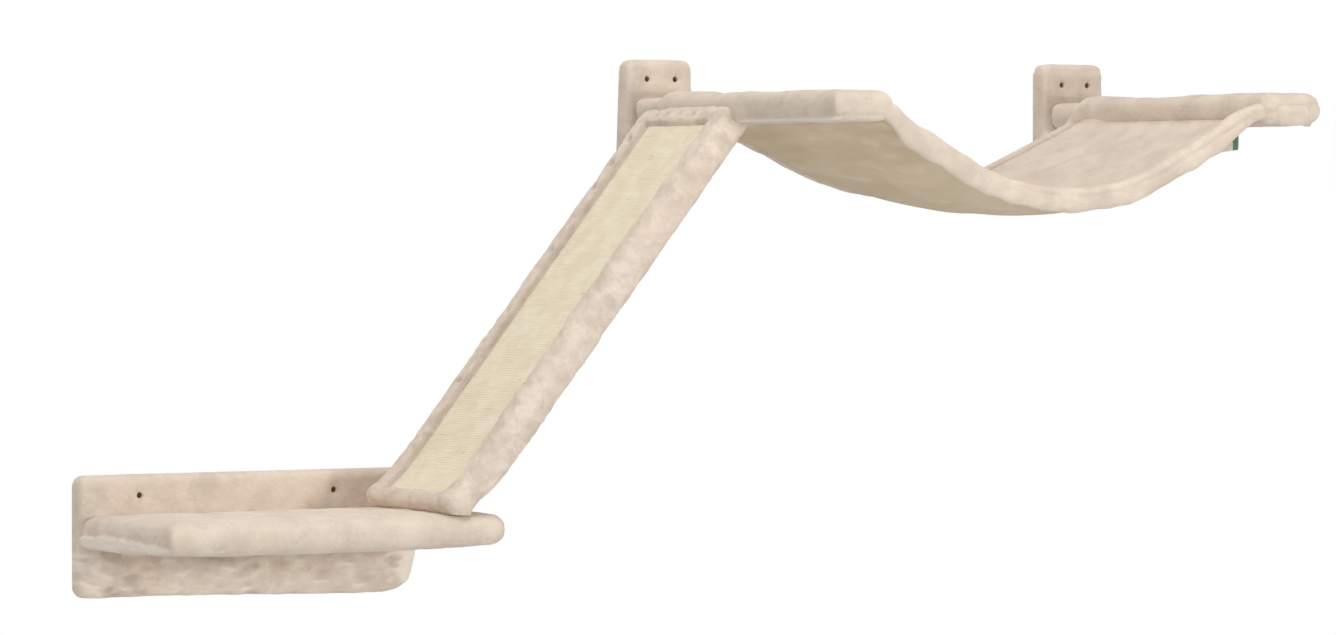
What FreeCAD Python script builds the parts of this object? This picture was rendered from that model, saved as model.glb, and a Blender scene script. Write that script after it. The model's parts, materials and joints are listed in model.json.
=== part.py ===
import FreeCAD, Part
import math
import os

# A cat climbing wall in millimetres: a shelf, a ramp and a hammock, on boards wrapped in plush.
# X runs right along the wall, Y runs into the wall and is zero on its face, and Z is up.
# The origin lies on the wall, midway between the two screw holes of the shelf's backboard.

# Boards and what wraps them
board = 16.0                    # chipboard, the same under every cover
wall_pile = 4.0                 # plush on the front and the edges of a wall panel
wall_fold = 2.0                 # plush pressed flat where it folds onto a panel's back
side_fold_width = 14.0          # how far the plush folds in from a panel's sides
top_fold_width = 34.0           # how far it folds in from a panel's top and bottom
shelf_pile = 8.0                # plush and padding round the shelf
arm_pile = 7.0                  # plush and padding round a hammock arm
ramp_pile = 7.0                 # plush on the ramp's top and edges
ramp_under_pile = 12.0          # plush and padding under the ramp's board
corner_margin = 2.0             # how much rounder a corner is than the edge that runs round it

# Wall panels: the shelf's backboard and the two arm plates have one height
panel_height = 127.0
panel_edge = 9.0                # rounding of a panel's front edges
hole_drop = 21.5                # wall-screw holes, below a panel's top
hole_diameter = 6.0
tread_drop = 42.0               # top of the shelf or arm, below its panel's top

# Shelf
shelf_width = 405.0
shelf_reach = 220.0             # from the wall to the shelf's front
shelf_edge = 14.0
shelf_right_corner = 33.0       # the shelf's right front corner, seen from above
backboard_right_corner = 40.0   # the backboard's lower right corner
shelf_hole_spacing = 231.0
shelf_hole_inset = 70.0         # from the backboard's left end to the first hole

# Hammock arms on their wall plates
plate_margin = 4.0              # a plate reaches this far past its arm, on each side
plate_rise = 438.0              # bottom of the plates above the bottom of the backboard
plate_offset = 672.0            # from the backboard's left end to the left plate's
plate_hole_spacing = 36.0
arm_spacing = 563.0             # between the middles of the two arms
arm_width = 74.0
arm_reach = 410.0               # from the wall to an arm's front
arm_edge = 11.0

# Hammock
sleeve_gap = 0.3                # looseness of a sleeve on its arm
sleeve_cloth = 2.5
sleeve_start = 62.0             # from the wall to a sleeve's open end
seam_gap = 0.3                  # between sewn pieces
sling_cloth = 5.0
lining_cloth = 2.0
sling_drop = 31.0               # from an arm's top to where the sling leaves its sleeve
rear_sag = 74.0                 # depth of the sling at its rear hem
middle_sag = 92.0
front_sag = 88.0
hem_depth = 14.0                # thickness of a hem, away from the wall
front_hem_inset = 10.0          # the front hem lies this far behind the front of the arms
front_hem_below = 6.0           # the front hem's roll, below and above the underside of the sling
front_hem_above = 20.0
rear_hem_below = 4.0
rear_hem_above = 8.0
front_hem_edge = 6.0
rear_hem_edge = 4.0
tag_width = 28.0
tag_drop = 16.0
tag_cloth = 1.2
tag_inset = 12.0                # from the right sleeve to the tag
tag_setback = 2.0               # from the front hem to the tag

# Ramp
ramp_width = 174.0
ramp_start = 45.0               # from the wall to the ramp's far side
ramp_foot_inset = 42.5          # from the shelf's right end to where the foot rests
ramp_head_tuck = 25.5           # how far the ramp's head reaches under the left arm
ramp_edge = 7.0
foot_press = 0.7                # plush squeezed flat under the foot
head_padding = 14.0             # plush and padding over the head of the ramp's board
far_border = 32.0               # plush round the sisal, towards the wall
near_border = 27.0
head_border = 20.0
foot_border = 13.0
sisal_cloth = 4.0
mat_gap = 0.3

# Steel
strap_width = 36.0
strap_steel = 2.5
strap_bend = 3.0                # inner radius of the strap's bend
strap_ramp_leg = 44.0
strap_arm_leg = 38.0
strap_hole_spacing = 18.0
strap_hole_inset = 12.0         # from a leg's end to its screws
joint_screw = 5.0               # shank diameters
strap_screw = 4.0
screw_fit = 0.1                 # looseness of a screw in its hole
joint_bite = 36.0               # how far screws reach into the board that they hold
strap_bite = 11.0
foot_bite = 17.0
foot_screw_inset = 3.0          # from the ramp's foot towards its head
foot_screw_spacing = 90.0

overrun = 5.0                   # how far a cutting shape passes the face that it cuts
near = 0.001                    # two places closer than this are one place

# Proportions
side_slope_share = 1.4          # steepness of the sling's sides, against a line to its lowest point
edge_limit_share = 0.46         # largest rounding of an edge, against the thickness that carries it
screw_head_share = 1.8          # screw head, against its shank
shelf_screw_shares = (0.12, 0.38, 0.64, 0.88)     # places along the backboard
arm_screw_shares = (0.27, 0.73)                   # places across an arm plate
sling_station_shares = (0.0, 0.25, 0.5, 0.75, 1.0)
quarter_bulge_share = 1 - math.sqrt(0.5)          # a quarter circle's middle, in from its corner

up = FreeCAD.Vector(0, 0, 1)
right = FreeCAD.Vector(1, 0, 0)
outward = FreeCAD.Vector(0, -1, 0)

# Places worked out from these sizes
panel_depth = wall_fold + board + wall_pile
shelf_left = -shelf_hole_inset - shelf_hole_spacing / 2
shelf_right = shelf_left + shelf_width
shelf_panel_top = hole_drop
shelf_panel_bottom = shelf_panel_top - panel_height
shelf_top = shelf_panel_top - tread_drop
shelf_bottom = shelf_top - board - 2 * shelf_pile
plate_bottom = shelf_panel_bottom + plate_rise
plate_top = plate_bottom + panel_height
arm_top = plate_top - tread_drop
arm_height = board + 2 * arm_pile
arm_bottom = arm_top - arm_height
plate_width = arm_width + 2 * plate_margin
left_arm_x = shelf_left + plate_offset + plate_width / 2
right_arm_x = left_arm_x + arm_spacing
sleeve_grow = sleeve_gap + sleeve_cloth
sleeve_bottom = arm_bottom - sleeve_grow
sling_x = (left_arm_x + right_arm_x) / 2
sling_half = (arm_spacing - arm_width) / 2 - sleeve_grow
sling_end = sling_half + arm_edge + sleeve_grow
sling_level = arm_top - sling_drop
hammock_front = -arm_reach + front_hem_inset
hammock_rear = -sleeve_start
sling_front = hammock_front + hem_depth
sling_rear = hammock_rear - hem_depth
ramp_thickness = ramp_under_pile + board + ramp_pile
ramp_y = -ramp_start - ramp_width / 2
foot_x = shelf_right - ramp_foot_inset
head_x = left_arm_x - arm_width / 2 - sleeve_grow + ramp_head_tuck
ramp_slope = math.atan2(sleeve_bottom - shelf_top, head_x - foot_x)
ramp_along = FreeCAD.Vector(math.cos(ramp_slope), 0, math.sin(ramp_slope))
ramp_out = FreeCAD.Vector(math.sin(ramp_slope), 0, -math.cos(ramp_slope))
ramp_round = min(ramp_edge, edge_limit_share * ramp_thickness)
foot_lift = ramp_round * (math.cos(ramp_slope) + math.sin(ramp_slope) - 1)
foot_length = (foot_lift + foot_press) / math.sin(ramp_slope)
ramp_head = FreeCAD.Vector(head_x, ramp_y, sleeve_bottom)
ramp_foot = FreeCAD.Vector(foot_x, ramp_y, shelf_top) - ramp_along * foot_length
ramp_length = (ramp_head - ramp_foot).Length
ramp_turn = FreeCAD.Rotation(outward, math.degrees(ramp_slope))
ramp_place = FreeCAD.Placement(ramp_foot, ramp_turn)


def block(left, far_right, front, rear, low, high):
    """Box between two places along each axis."""
    size = (far_right - left, rear - front, high - low)
    return Part.makeBox(*size, FreeCAD.Vector(left, front, low))


def rounded_face(left, far_right, low, high, radii, place):
    """Rectangle with rounded corners, from low left round to high left; place puts a point in space."""
    corners = ((left, low), (far_right, low), (far_right, high), (left, high))
    sides = ((1, 0), (0, 1), (-1, 0), (0, -1))
    arcs = []
    for i, ((across, rise), radius) in enumerate(zip(corners, radii)):
        came, goes = sides[i - 1], sides[i]
        bulge = radius * quarter_bulge_share
        start = place(across - came[0] * radius, rise - came[1] * radius)
        middle = place(across + (goes[0] - came[0]) * bulge, rise + (goes[1] - came[1]) * bulge)
        end = place(across + goes[0] * radius, rise + goes[1] * radius)
        arcs.append((radius, start, middle, end))
    edges = []
    for i, (radius, start, middle, end) in enumerate(arcs):
        if radius > 0:
            edges.append(Part.Arc(start, middle, end).toShape())
        edges.append(Part.makeLine(end, arcs[(i + 1) % len(arcs)][1]))
    return Part.Face(Part.Wire(edges))


def edges_at(shape, measure, level):
    """Edges whose ends both lie at a level, such as the rim of a front face."""
    return [e for e in shape.Edges if all(abs(measure(v.Point) - level) < near for v in e.Vertexes)]


def soften_rims(shape, radius, measure, levels, skip=()):
    """Rounds the rims at some levels, but not the edges in skip."""
    skipped = [edge.hashCode() for edge in skip]
    rims = [edge for level in levels for edge in edges_at(shape, measure, level)]
    return shape.makeFillet(radius, [edge for edge in rims if edge.hashCode() not in skipped])


def bar(left, far_right, front, rear, low, high, corners, edge):
    """Padded bar with round front corners and edges, cut flat at its rear."""
    def place(x, y):
        return FreeCAD.Vector(x, y, low)
    radii = (corners[0], corners[1], 0, 0)
    solid = rounded_face(left, far_right, front, rear, radii, place).extrude(up * (high - low))
    rear_edges = edges_at(solid, lambda p: p.y, rear)
    return soften_rims(solid, edge, lambda p: p.z, (low, high), rear_edges)


def screw(diameter, length, head_at, direction):
    """Countersunk wood screw whose flat head lies at a point."""
    shank = diameter / 2
    head = shank * screw_head_share
    profile = ((0, 0), (head, 0), (shank, head - shank), (shank, length), (0, length), (0, 0))
    face = Part.Face(Part.makePolygon([FreeCAD.Vector(x, 0, z) for x, z in profile]))
    solid = face.revolve(FreeCAD.Vector(), up)
    solid.Placement = FreeCAD.Placement(head_at, FreeCAD.Rotation(up, direction))
    return solid


def screw_set(diameter, length, heads, direction):
    """Like screws at several points, and the holes that they need."""
    screws = [screw(diameter, length, head, direction) for head in heads]
    holes = [screw(diameter + 2 * screw_fit, length + screw_fit, head, direction) for head in heads]
    return screws, holes


def wall_holes(middle_x, spacing, height):
    """Holes for the two screws that fix a panel to the wall."""
    holes = []
    for x in (middle_x - spacing / 2, middle_x + spacing / 2):
        start = FreeCAD.Vector(x, overrun, height)
        holes.append(Part.makeCylinder(hole_diameter / 2, panel_depth + 2 * overrun, start, outward))
    return holes


def wall_panel(left, width, bottom, corner_radii, holes):
    """Board of a wall panel, and its plush cover, which folds onto the back and leaves its middle bare."""
    top = bottom + panel_height
    end = left + width

    def at_wall(x, z):
        return FreeCAD.Vector(x, 0, z)

    def at_board(x, z):
        return FreeCAD.Vector(x, -wall_fold, z)

    edge = min(panel_edge, edge_limit_share * panel_depth)
    cover = rounded_face(left, end, bottom, top, corner_radii, at_wall).extrude(outward * panel_depth)
    cover = soften_rims(cover, edge, lambda p: p.y, (-panel_depth,))
    inner_radii = [radius - wall_pile for radius in corner_radii]
    inner = (left + wall_pile, end - wall_pile, bottom + wall_pile, top - wall_pile)
    core = rounded_face(*inner, inner_radii, at_board).extrude(outward * board)
    bare = block(left + side_fold_width, end - side_fold_width, -wall_fold, overrun,
                 bottom + top_fold_width, top - top_fold_width)
    return core.cut(holes), cover.cut([core, bare] + holes)


def shelf_bar(shrink):
    """Outline of the shelf, or of the board inside it when shrunk."""
    edge = min(shelf_edge, edge_limit_share * (shelf_top - shelf_bottom))
    corners = (edge + corner_margin - shrink, shelf_right_corner - shrink)
    sides = (shelf_left + shrink, shelf_right - shrink, shrink - shelf_reach, -panel_depth)
    levels = (shelf_bottom + shrink, shelf_top - shrink)
    if shrink > 0:
        def place(x, y):
            return FreeCAD.Vector(x, y, levels[0])
        return rounded_face(*sides, (*corners, 0, 0), place).extrude(up * (levels[1] - levels[0]))
    return bar(*sides, *levels, corners, edge)


def arm_bar(middle_x, grow, rear):
    """Outline of an arm, or of a sleeve round it when grown."""
    edge = min(arm_edge, edge_limit_share * arm_height) + grow
    corners = (edge + corner_margin, edge + corner_margin)
    half = arm_width / 2 + grow
    return bar(middle_x - half, middle_x + half, -arm_reach - grow, rear,
               arm_bottom - grow, arm_top + grow, corners, edge)


def arm_board(middle_x):
    """Board inside an arm."""
    half = arm_width / 2 - arm_pile
    return block(middle_x - half, middle_x + half, arm_pile - arm_reach, -panel_depth,
                 arm_bottom + arm_pile, arm_top - arm_pile)


def sleeve(middle_x):
    """Cloth pocket pulled over an arm, closed at the arm's front."""
    pocket = arm_bar(middle_x, sleeve_gap, -sleeve_start + overrun)
    return arm_bar(middle_x, sleeve_grow, -sleeve_start).cut(pocket)


def sag_shape(sag, offset):
    """Where the round bottom of the sling's curve ends, its lowest point, and how steep its sides are."""
    slope = math.atan(side_slope_share * sag / sling_half)
    radius = (side_slope_share - 1) * sag / (1 / math.cos(slope) - 1)
    centre_z = sling_level - sag + radius
    reach = (radius - offset) * math.sin(slope)
    foot = centre_z - (radius - offset) * math.cos(slope)
    return reach, foot, centre_z - radius + offset, math.tan(slope)


def sag_wire(sag, low, high, y):
    """Outline of a hanging strip, between two heights measured square to the sling's underside."""
    def side(offset):
        reach, foot, lowest, steepness = sag_shape(sag, offset)
        tip = foot + (sling_end - reach) * steepness
        places = ((-sling_end, tip), (-reach, foot), (0, lowest), (reach, foot), (sling_end, tip))
        return [FreeCAD.Vector(sling_x + x, y, z) for x, z in places]

    under, over = side(low), side(high)
    return Part.Wire([
        Part.makeLine(under[0], under[1]),
        Part.Arc(under[1], under[2], under[3]).toShape(),
        Part.makeLine(under[3], under[4]),
        Part.makeLine(under[4], over[4]),
        Part.makeLine(over[4], over[3]),
        Part.Arc(over[3], over[2], over[1]).toShape(),
        Part.makeLine(over[1], over[0]),
        Part.makeLine(over[0], under[0]),
    ])


def sling_sheet(low, high):
    """Layer of the sling, which hangs deepest in its middle and is pulled tighter at the wall."""
    wires = []
    for share in sling_station_shares:
        crown = 1 - (2 * share - 1) ** 2
        straight = rear_sag + (front_sag - rear_sag) * share
        sag = straight + crown * (middle_sag - (rear_sag + front_sag) / 2)
        wires.append(sag_wire(sag, low, high, sling_rear + (sling_front - sling_rear) * share))
    return Part.makeLoft(wires, True, False)


def hem(sag, low, high, front, edge):
    """Rolled edge of the hammock, along the sling's curve."""
    rear = front + hem_depth
    roll = Part.Face(sag_wire(sag, low, high, rear)).extrude(outward * hem_depth)
    ends = [e for x in (sling_x - sling_end, sling_x + sling_end) for e in edges_at(roll, lambda p: p.x, x)]
    return soften_rims(roll, edge, lambda p: p.y, (front, rear), ends)


def ramp_block(start, end, far, near_side, low, high):
    """Block in the ramp's own directions, with margins from its foot, its head and its two sides."""
    half = ramp_width / 2
    shape = block(start, ramp_length - end, near_side - half, half - far, low, high)
    shape.Placement = ramp_place
    return shape


def ramp_body():
    """Outer form of the ramp's plush cover, before it is pressed at its ends."""
    half = ramp_width / 2
    corner = ramp_round + corner_margin

    def place(x, y):
        return FreeCAD.Vector(x, y, 0)

    face = rounded_face(0, ramp_length, -half, half, (corner, corner, corner, corner), place)
    body = face.extrude(up * ramp_thickness)
    body = soften_rims(body, ramp_round, lambda p: p.z, (0, ramp_thickness))
    body.Placement = ramp_place
    return body


def head_strap():
    """Steel strap bent from the ramp's underside to the arm's."""
    rear = ramp_head + FreeCAD.Vector(0, strap_width / 2, 0)
    ramp_end = rear - ramp_along * strap_ramp_leg
    arm_end = rear + right * strap_arm_leg
    down = -up
    bend = rear + (ramp_out + down) * (strap_steel / (1 + ramp_out.dot(down)))
    points = [ramp_end, rear, arm_end, arm_end + down * strap_steel, bend, ramp_end + ramp_out * strap_steel]
    strap = Part.Face(Part.makePolygon(points + points[:1])).extrude(outward * strap_width)

    def bend_edges(shape, corner):
        return [e for e in edges_at(shape, lambda p: p.x, corner.x) if abs(e.Vertexes[0].Z - corner.z) < near]

    strap = strap.makeFillet(strap_bend + strap_steel, bend_edges(strap, rear))
    return strap.makeFillet(strap_bend, bend_edges(strap, bend))


def panel_joint(places, height, board_names):
    """Screws through a wall panel into the end of the board that it carries."""
    heads = [FreeCAD.Vector(x, -wall_fold, height) for x in places]
    screws, holes = screw_set(joint_screw, board + wall_pile + joint_bite, heads, outward)
    for name in board_names:
        parts[name] = parts[name].cut(holes)
    return screws


parts = {}

# The shelf on its backboard
shelf_holes = wall_holes(0, shelf_hole_spacing, 0)
small_corner = panel_edge + corner_margin
backboard_corners = (small_corner, backboard_right_corner, small_corner, small_corner)
parts["shelf_backboard"], parts["shelf_backboard_cover"] = wall_panel(
    shelf_left, shelf_width, shelf_panel_bottom, backboard_corners, shelf_holes)
parts["shelf_board"] = shelf_bar(shelf_pile)
parts["shelf_board_cover"] = shelf_bar(0).cut(parts["shelf_board"])
parts["shelf_joint_screws"] = panel_joint(
    [shelf_left + share * shelf_width for share in shelf_screw_shares],
    (shelf_top + shelf_bottom) / 2,
    ("shelf_backboard", "shelf_backboard_cover", "shelf_board"))

# The two hammock arms, each on its wall plate
for side, arm_x in (("left", left_arm_x), ("right", right_arm_x)):
    plate_left = arm_x - plate_width / 2
    names = [side + name for name in ("_wall_plate", "_wall_plate_cover", "_arm")]
    plate_holes = wall_holes(arm_x, plate_hole_spacing, plate_top - hole_drop)
    parts[names[0]], parts[names[1]] = wall_panel(
        plate_left, plate_width, plate_bottom, (small_corner,) * 4, plate_holes)
    parts[names[2]] = arm_board(arm_x)
    parts[side + "_arm_cover"] = arm_bar(arm_x, 0, -panel_depth).cut(parts[names[2]])
    parts[side + "_arm_joint_screws"] = panel_joint(
        [plate_left + share * plate_width for share in arm_screw_shares],
        (arm_top + arm_bottom) / 2, names)
    parts["hammock_" + side + "_sleeve"] = sleeve(arm_x)

# The hammock between the arms
sleeve_room = [arm_bar(x, sleeve_grow + seam_gap, -panel_depth) for x in (left_arm_x, right_arm_x)]
lining_top = -seam_gap
lining_low = lining_top - lining_cloth
parts["hammock_sling"] = sling_sheet(0, sling_cloth).cut(sleeve_room)
parts["hammock_lining"] = sling_sheet(lining_low, lining_top).cut(sleeve_room)
parts["hammock_front_hem"] = hem(
    front_sag, -front_hem_below, front_hem_above, hammock_front, front_hem_edge).cut(sleeve_room)
parts["hammock_rear_hem"] = hem(
    rear_sag, -rear_hem_below, rear_hem_above, sling_rear, rear_hem_edge).cut(sleeve_room)
tag_x = sling_x + sling_half - tag_inset
tag_front = sling_front + tag_setback
tag_reach, tag_foot, _, tag_steepness = sag_shape(front_sag, lining_low)
tag_top = tag_foot + (tag_x + tag_cloth - sling_x - tag_reach) * tag_steepness
tag = block(tag_x, tag_x + tag_cloth, tag_front, tag_front + tag_width, tag_top - tag_drop, tag_top)
parts["hammock_tag"] = tag.cut(sling_sheet(lining_low - seam_gap, sling_cloth))

# The ramp from the shelf up to the left arm
ramp_top_board = ramp_under_pile + board
parts["ramp_board"] = ramp_block(ramp_pile, head_padding, ramp_pile, ramp_pile, ramp_under_pile, ramp_top_board)
mat_margins = (foot_border, head_border, far_border, near_border)
parts["ramp_sisal_mat"] = ramp_block(*mat_margins, ramp_top_board, ramp_top_board + sisal_cloth)
opening_margins = [margin - mat_gap for margin in mat_margins]
mat_opening = ramp_block(*opening_margins, ramp_top_board, ramp_thickness + overrun)
under_shelf_top = block(shelf_left, shelf_right, -shelf_reach, 0, shelf_bottom, shelf_top)
parts["ramp_cover"] = ramp_body().cut([parts["ramp_board"], mat_opening, under_shelf_top, sleeve_room[0]])
parts["ramp_head_strap"] = head_strap()

# Screws of the strap, half of them into the ramp and half into the arm
strap_rows = [ramp_y - strap_hole_spacing / 2, ramp_y + strap_hole_spacing / 2]
ramp_row = ramp_head - ramp_along * (strap_ramp_leg - strap_hole_inset) + ramp_out * strap_steel
arm_row = ramp_head + right * (strap_arm_leg - strap_hole_inset) - up * strap_steel
into_ramp = screw_set(strap_screw, strap_steel + ramp_under_pile + strap_bite,
                      [FreeCAD.Vector(ramp_row.x, y, ramp_row.z) for y in strap_rows], -ramp_out)
into_arm = screw_set(strap_screw, strap_steel + sleeve_grow + arm_pile + strap_bite,
                     [FreeCAD.Vector(arm_row.x, y, arm_row.z) for y in strap_rows], up)
parts["ramp_head_screws"] = into_ramp[0] + into_arm[0]
for name in ("ramp_head_strap", "ramp_cover", "ramp_board"):
    parts[name] = parts[name].cut(into_ramp[1])
for name in ("ramp_head_strap", "hammock_left_sleeve", "left_arm_cover", "left_arm"):
    parts[name] = parts[name].cut(into_arm[1])

# Screws from under the shelf into the ramp's foot
foot_screw_x = foot_x + foot_screw_inset
core_rise = foot_screw_inset * math.tan(ramp_slope) + ramp_under_pile / math.cos(ramp_slope)
foot_head_z = shelf_bottom + shelf_pile
foot_screws = screw_set(joint_screw, board + shelf_pile + core_rise + foot_bite,
                        [FreeCAD.Vector(foot_screw_x, ramp_y + step, foot_head_z)
                         for step in (-foot_screw_spacing / 2, foot_screw_spacing / 2)], up)
parts["ramp_foot_screws"] = foot_screws[0]
head_wells = [Part.makeCylinder(joint_screw * screw_head_share / 2 + screw_fit, shelf_pile + overrun,
                                hole.Placement.Base, -up) for hole in foot_screws[1]]
parts["shelf_board_cover"] = parts["shelf_board_cover"].cut(head_wells + foot_screws[1])
for name in ("shelf_board", "ramp_cover", "ramp_board"):
    parts[name] = parts[name].cut(foot_screws[1])

os.makedirs("parts", exist_ok=True)
for name, shape in parts.items():
    solids = shape if isinstance(shape, list) else shape.Solids
    body = solids[0] if len(solids) == 1 else Part.makeCompound(solids)
    body.exportStep("parts/" + name + ".step")
    print(name, len(solids), "solid(s),", round(body.Volume / 1000, 2), "cm3, valid", body.isValid())
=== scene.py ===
# %% [markdown]
# # A cat climbing wall in plush
#
# The object is a set of boards wrapped in short beige plush: a shelf on its backboard, a ramp with a
# sisal mat, and a hammock that hangs between two arms. The boards, the steel strap and the screws come
# from the CAD model as they are. All cloth is made here, because cloth needs an uneven surface that a
# CAD solid lacks. Lengths are in metres, X runs right along the wall, Y runs into the wall, and Z is
# up.

# %% Load the frame
import json
import math

import bmesh
import bpy
from mathutils import Matrix, Vector, noise
from mathutils.bvhtree import BVHTree


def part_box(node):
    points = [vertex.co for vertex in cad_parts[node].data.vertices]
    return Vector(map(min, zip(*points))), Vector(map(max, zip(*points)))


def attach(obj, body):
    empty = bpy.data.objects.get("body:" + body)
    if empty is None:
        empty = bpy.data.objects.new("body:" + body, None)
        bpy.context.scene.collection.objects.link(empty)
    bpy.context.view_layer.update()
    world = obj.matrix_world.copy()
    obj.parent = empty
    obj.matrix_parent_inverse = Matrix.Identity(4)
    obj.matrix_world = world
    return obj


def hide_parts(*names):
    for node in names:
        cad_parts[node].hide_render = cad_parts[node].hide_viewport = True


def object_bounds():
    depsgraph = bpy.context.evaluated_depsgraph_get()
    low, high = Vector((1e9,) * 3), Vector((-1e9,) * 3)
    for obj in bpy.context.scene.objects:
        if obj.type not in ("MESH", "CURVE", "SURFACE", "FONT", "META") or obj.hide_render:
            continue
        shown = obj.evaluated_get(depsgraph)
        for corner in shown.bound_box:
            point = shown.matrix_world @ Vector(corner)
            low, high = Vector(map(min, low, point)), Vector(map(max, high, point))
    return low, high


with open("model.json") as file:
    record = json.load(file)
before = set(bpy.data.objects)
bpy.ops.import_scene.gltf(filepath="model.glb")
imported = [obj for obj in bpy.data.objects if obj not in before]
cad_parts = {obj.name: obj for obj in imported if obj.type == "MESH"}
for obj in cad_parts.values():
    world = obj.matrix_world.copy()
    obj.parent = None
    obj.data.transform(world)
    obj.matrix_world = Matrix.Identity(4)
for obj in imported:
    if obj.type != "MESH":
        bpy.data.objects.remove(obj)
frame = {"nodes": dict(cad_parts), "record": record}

cad_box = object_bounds()
print("frame:", len(frame["nodes"]), "nodes, box", [tuple(round(x, 3) for x in corner) for corner in cad_box])

# %% [markdown]
# ## Camera
#
# The photograph was taken from far away with a long lens: level lines of the wall hardly converge. So
# the camera stands 6.5 m away, to the left of the wall's normal and one degree above level, and its
# lens is long enough to fill the frame.

# %% Camera
view_target = Vector((0.5491, 0.0, 0.1773))
view_distance = 6.5
view_turn = math.radians(33.0)
view_rise = math.radians(1.0)
view_sensor = 36.0
view_lens = 159.55

toward_eye = Vector((
    -math.sin(view_turn) * math.cos(view_rise),
    -math.cos(view_turn) * math.cos(view_rise),
    math.sin(view_rise),
))
camera = bpy.data.objects.new("camera", bpy.data.cameras.new("camera"))
bpy.context.collection.objects.link(camera)
camera.data.sensor_width = view_sensor
camera.data.lens = view_lens
camera.location = view_target + toward_eye * view_distance
camera.rotation_euler = toward_eye.to_track_quat("Z", "Y").to_euler()
bpy.context.scene.camera = camera
bpy.context.scene.view_settings.view_transform = "Standard"
print("camera at", tuple(round(x, 3) for x in camera.location))

# %% [markdown]
# ## Shader arithmetic
#
# A material is a net of small nodes. Writing `0.3 + 0.7 * mask` is easier to read than wiring two Math
# nodes by hand, so a `Wire` stands for a value on its way through the net, and arithmetic on it adds
# the nodes. A `Net` makes any other node from its type, its settings and what goes into its sockets.
# `Finish` is a net that feeds one Principled shader.

# %% Wires and nets
class Wire:
    """A value on its way through a net of nodes."""

    def __init__(self, net, socket):
        self.net = net
        self.socket = socket

    def sum_of(self, operation, first, second):
        return self.net.node("ShaderNodeMath", {"operation": operation}, {0: first, 1: second})

    def __add__(self, other):
        return self.sum_of("ADD", self, other)

    def __radd__(self, other):
        return self.sum_of("ADD", other, self)

    def __rsub__(self, other):
        return self.sum_of("SUBTRACT", other, self)

    def __mul__(self, other):
        return self.sum_of("MULTIPLY", self, other)

    def __rmul__(self, other):
        return self.sum_of("MULTIPLY", other, self)


class Net:
    """The nodes of a material or of the world."""

    def __init__(self, tree):
        self.tree = tree

    def feed(self, socket, value):
        if isinstance(value, Wire):
            self.tree.links.new(value.socket, socket)
        else:
            socket.default_value = value

    def node(self, kind, settings=None, inputs=None, output=0):
        made = self.tree.nodes.new(kind)
        for name, value in (settings or {}).items():
            setattr(made, name, value)
        for name, value in (inputs or {}).items():
            self.feed(made.inputs[name], value)
        return Wire(self, made.outputs[output])

    def place(self):
        """Where a point is on the object."""
        return self.node("ShaderNodeTexCoord", output="Object")

    def grain(self, place, size, detail=2.0, distortion=0.0):
        """Cloudy noise from 0 to 1 with lumps of about this size."""
        return self.node("ShaderNodeTexNoise", inputs={
            "Vector": place, "Scale": 1 / size, "Detail": detail, "Distortion": distortion})

    def between(self, wire, low, high):
        """0 where a value is low, 1 where it is high, and a smooth step between."""
        return self.node("ShaderNodeMapRange", {"interpolation_type": "SMOOTHSTEP"}, {
            "Value": wire, "From Min": low, "From Max": high})

    def mix(self, share, first, second):
        """A colour between two colours."""
        return self.node("ShaderNodeMix", {"data_type": "RGBA"}, {0: share, 6: first, 7: second}, output=2)

    def bump(self, height, depth, strength=1.0):
        """The tilt of a surface whose fine relief has this height."""
        return self.node("ShaderNodeBump", inputs={"Height": height, "Distance": depth, "Strength": strength})


class Finish(Net):
    """A material with one Principled shader, whose steady values are set on its own sockets."""

    def __init__(self, name, steady):
        self.material = bpy.data.materials.new(name)
        self.material.use_nodes = True
        super().__init__(self.material.node_tree)
        self.shader = self.tree.nodes["Principled BSDF"]
        for socket, value in steady.items():
            self.shader.inputs[socket].default_value = value

    def show(self, **sockets):
        for name, value in sockets.items():
            self.feed(self.shader.inputs[name.replace("_", " ")], value)
        print("finish", self.material.name, "with", len(self.tree.nodes), "nodes")
        return self.material


# %% [markdown]
# ## Plush
#
# Short plush is dull and deep. Its colour changes with the way the pile lies: brushed one way it is
# pale, brushed the other way it is greyer, in patches a few centimetres wide with soft edges. Wider
# areas are a little pink. Tufts a few millimetres wide speckle it. Sheen gives the pale rim that cloth
# with a pile shows where it turns away. Each point of a piece also carries an attribute from -1, dark,
# to 1, pale. It holds the pile's own patches and streaks, and painted light and shade: pale where a
# face or a fold catches the light, dark on faces turned from it, in creases, grooves, dimples and
# under folds. On the wall panels the plush is a shade darker and pinker than the rest. On the ramp it
# is ruffled, in smaller patches.

# %% Plush
# The attribute pales the plush towards the first colour and darkens it towards the second, both for the
# pile's own patches and for painted light and shade.
pale_pile_and_light = (0.87, 0.785, 0.680, 1.0)
dark_pile_and_shade = (0.47, 0.385, 0.310, 1.0)
finger_size = 0.011
blush_size = 0.060
tuft_size = 0.0042
hair_size = 0.0019
pile_relief = 0.0024


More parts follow.
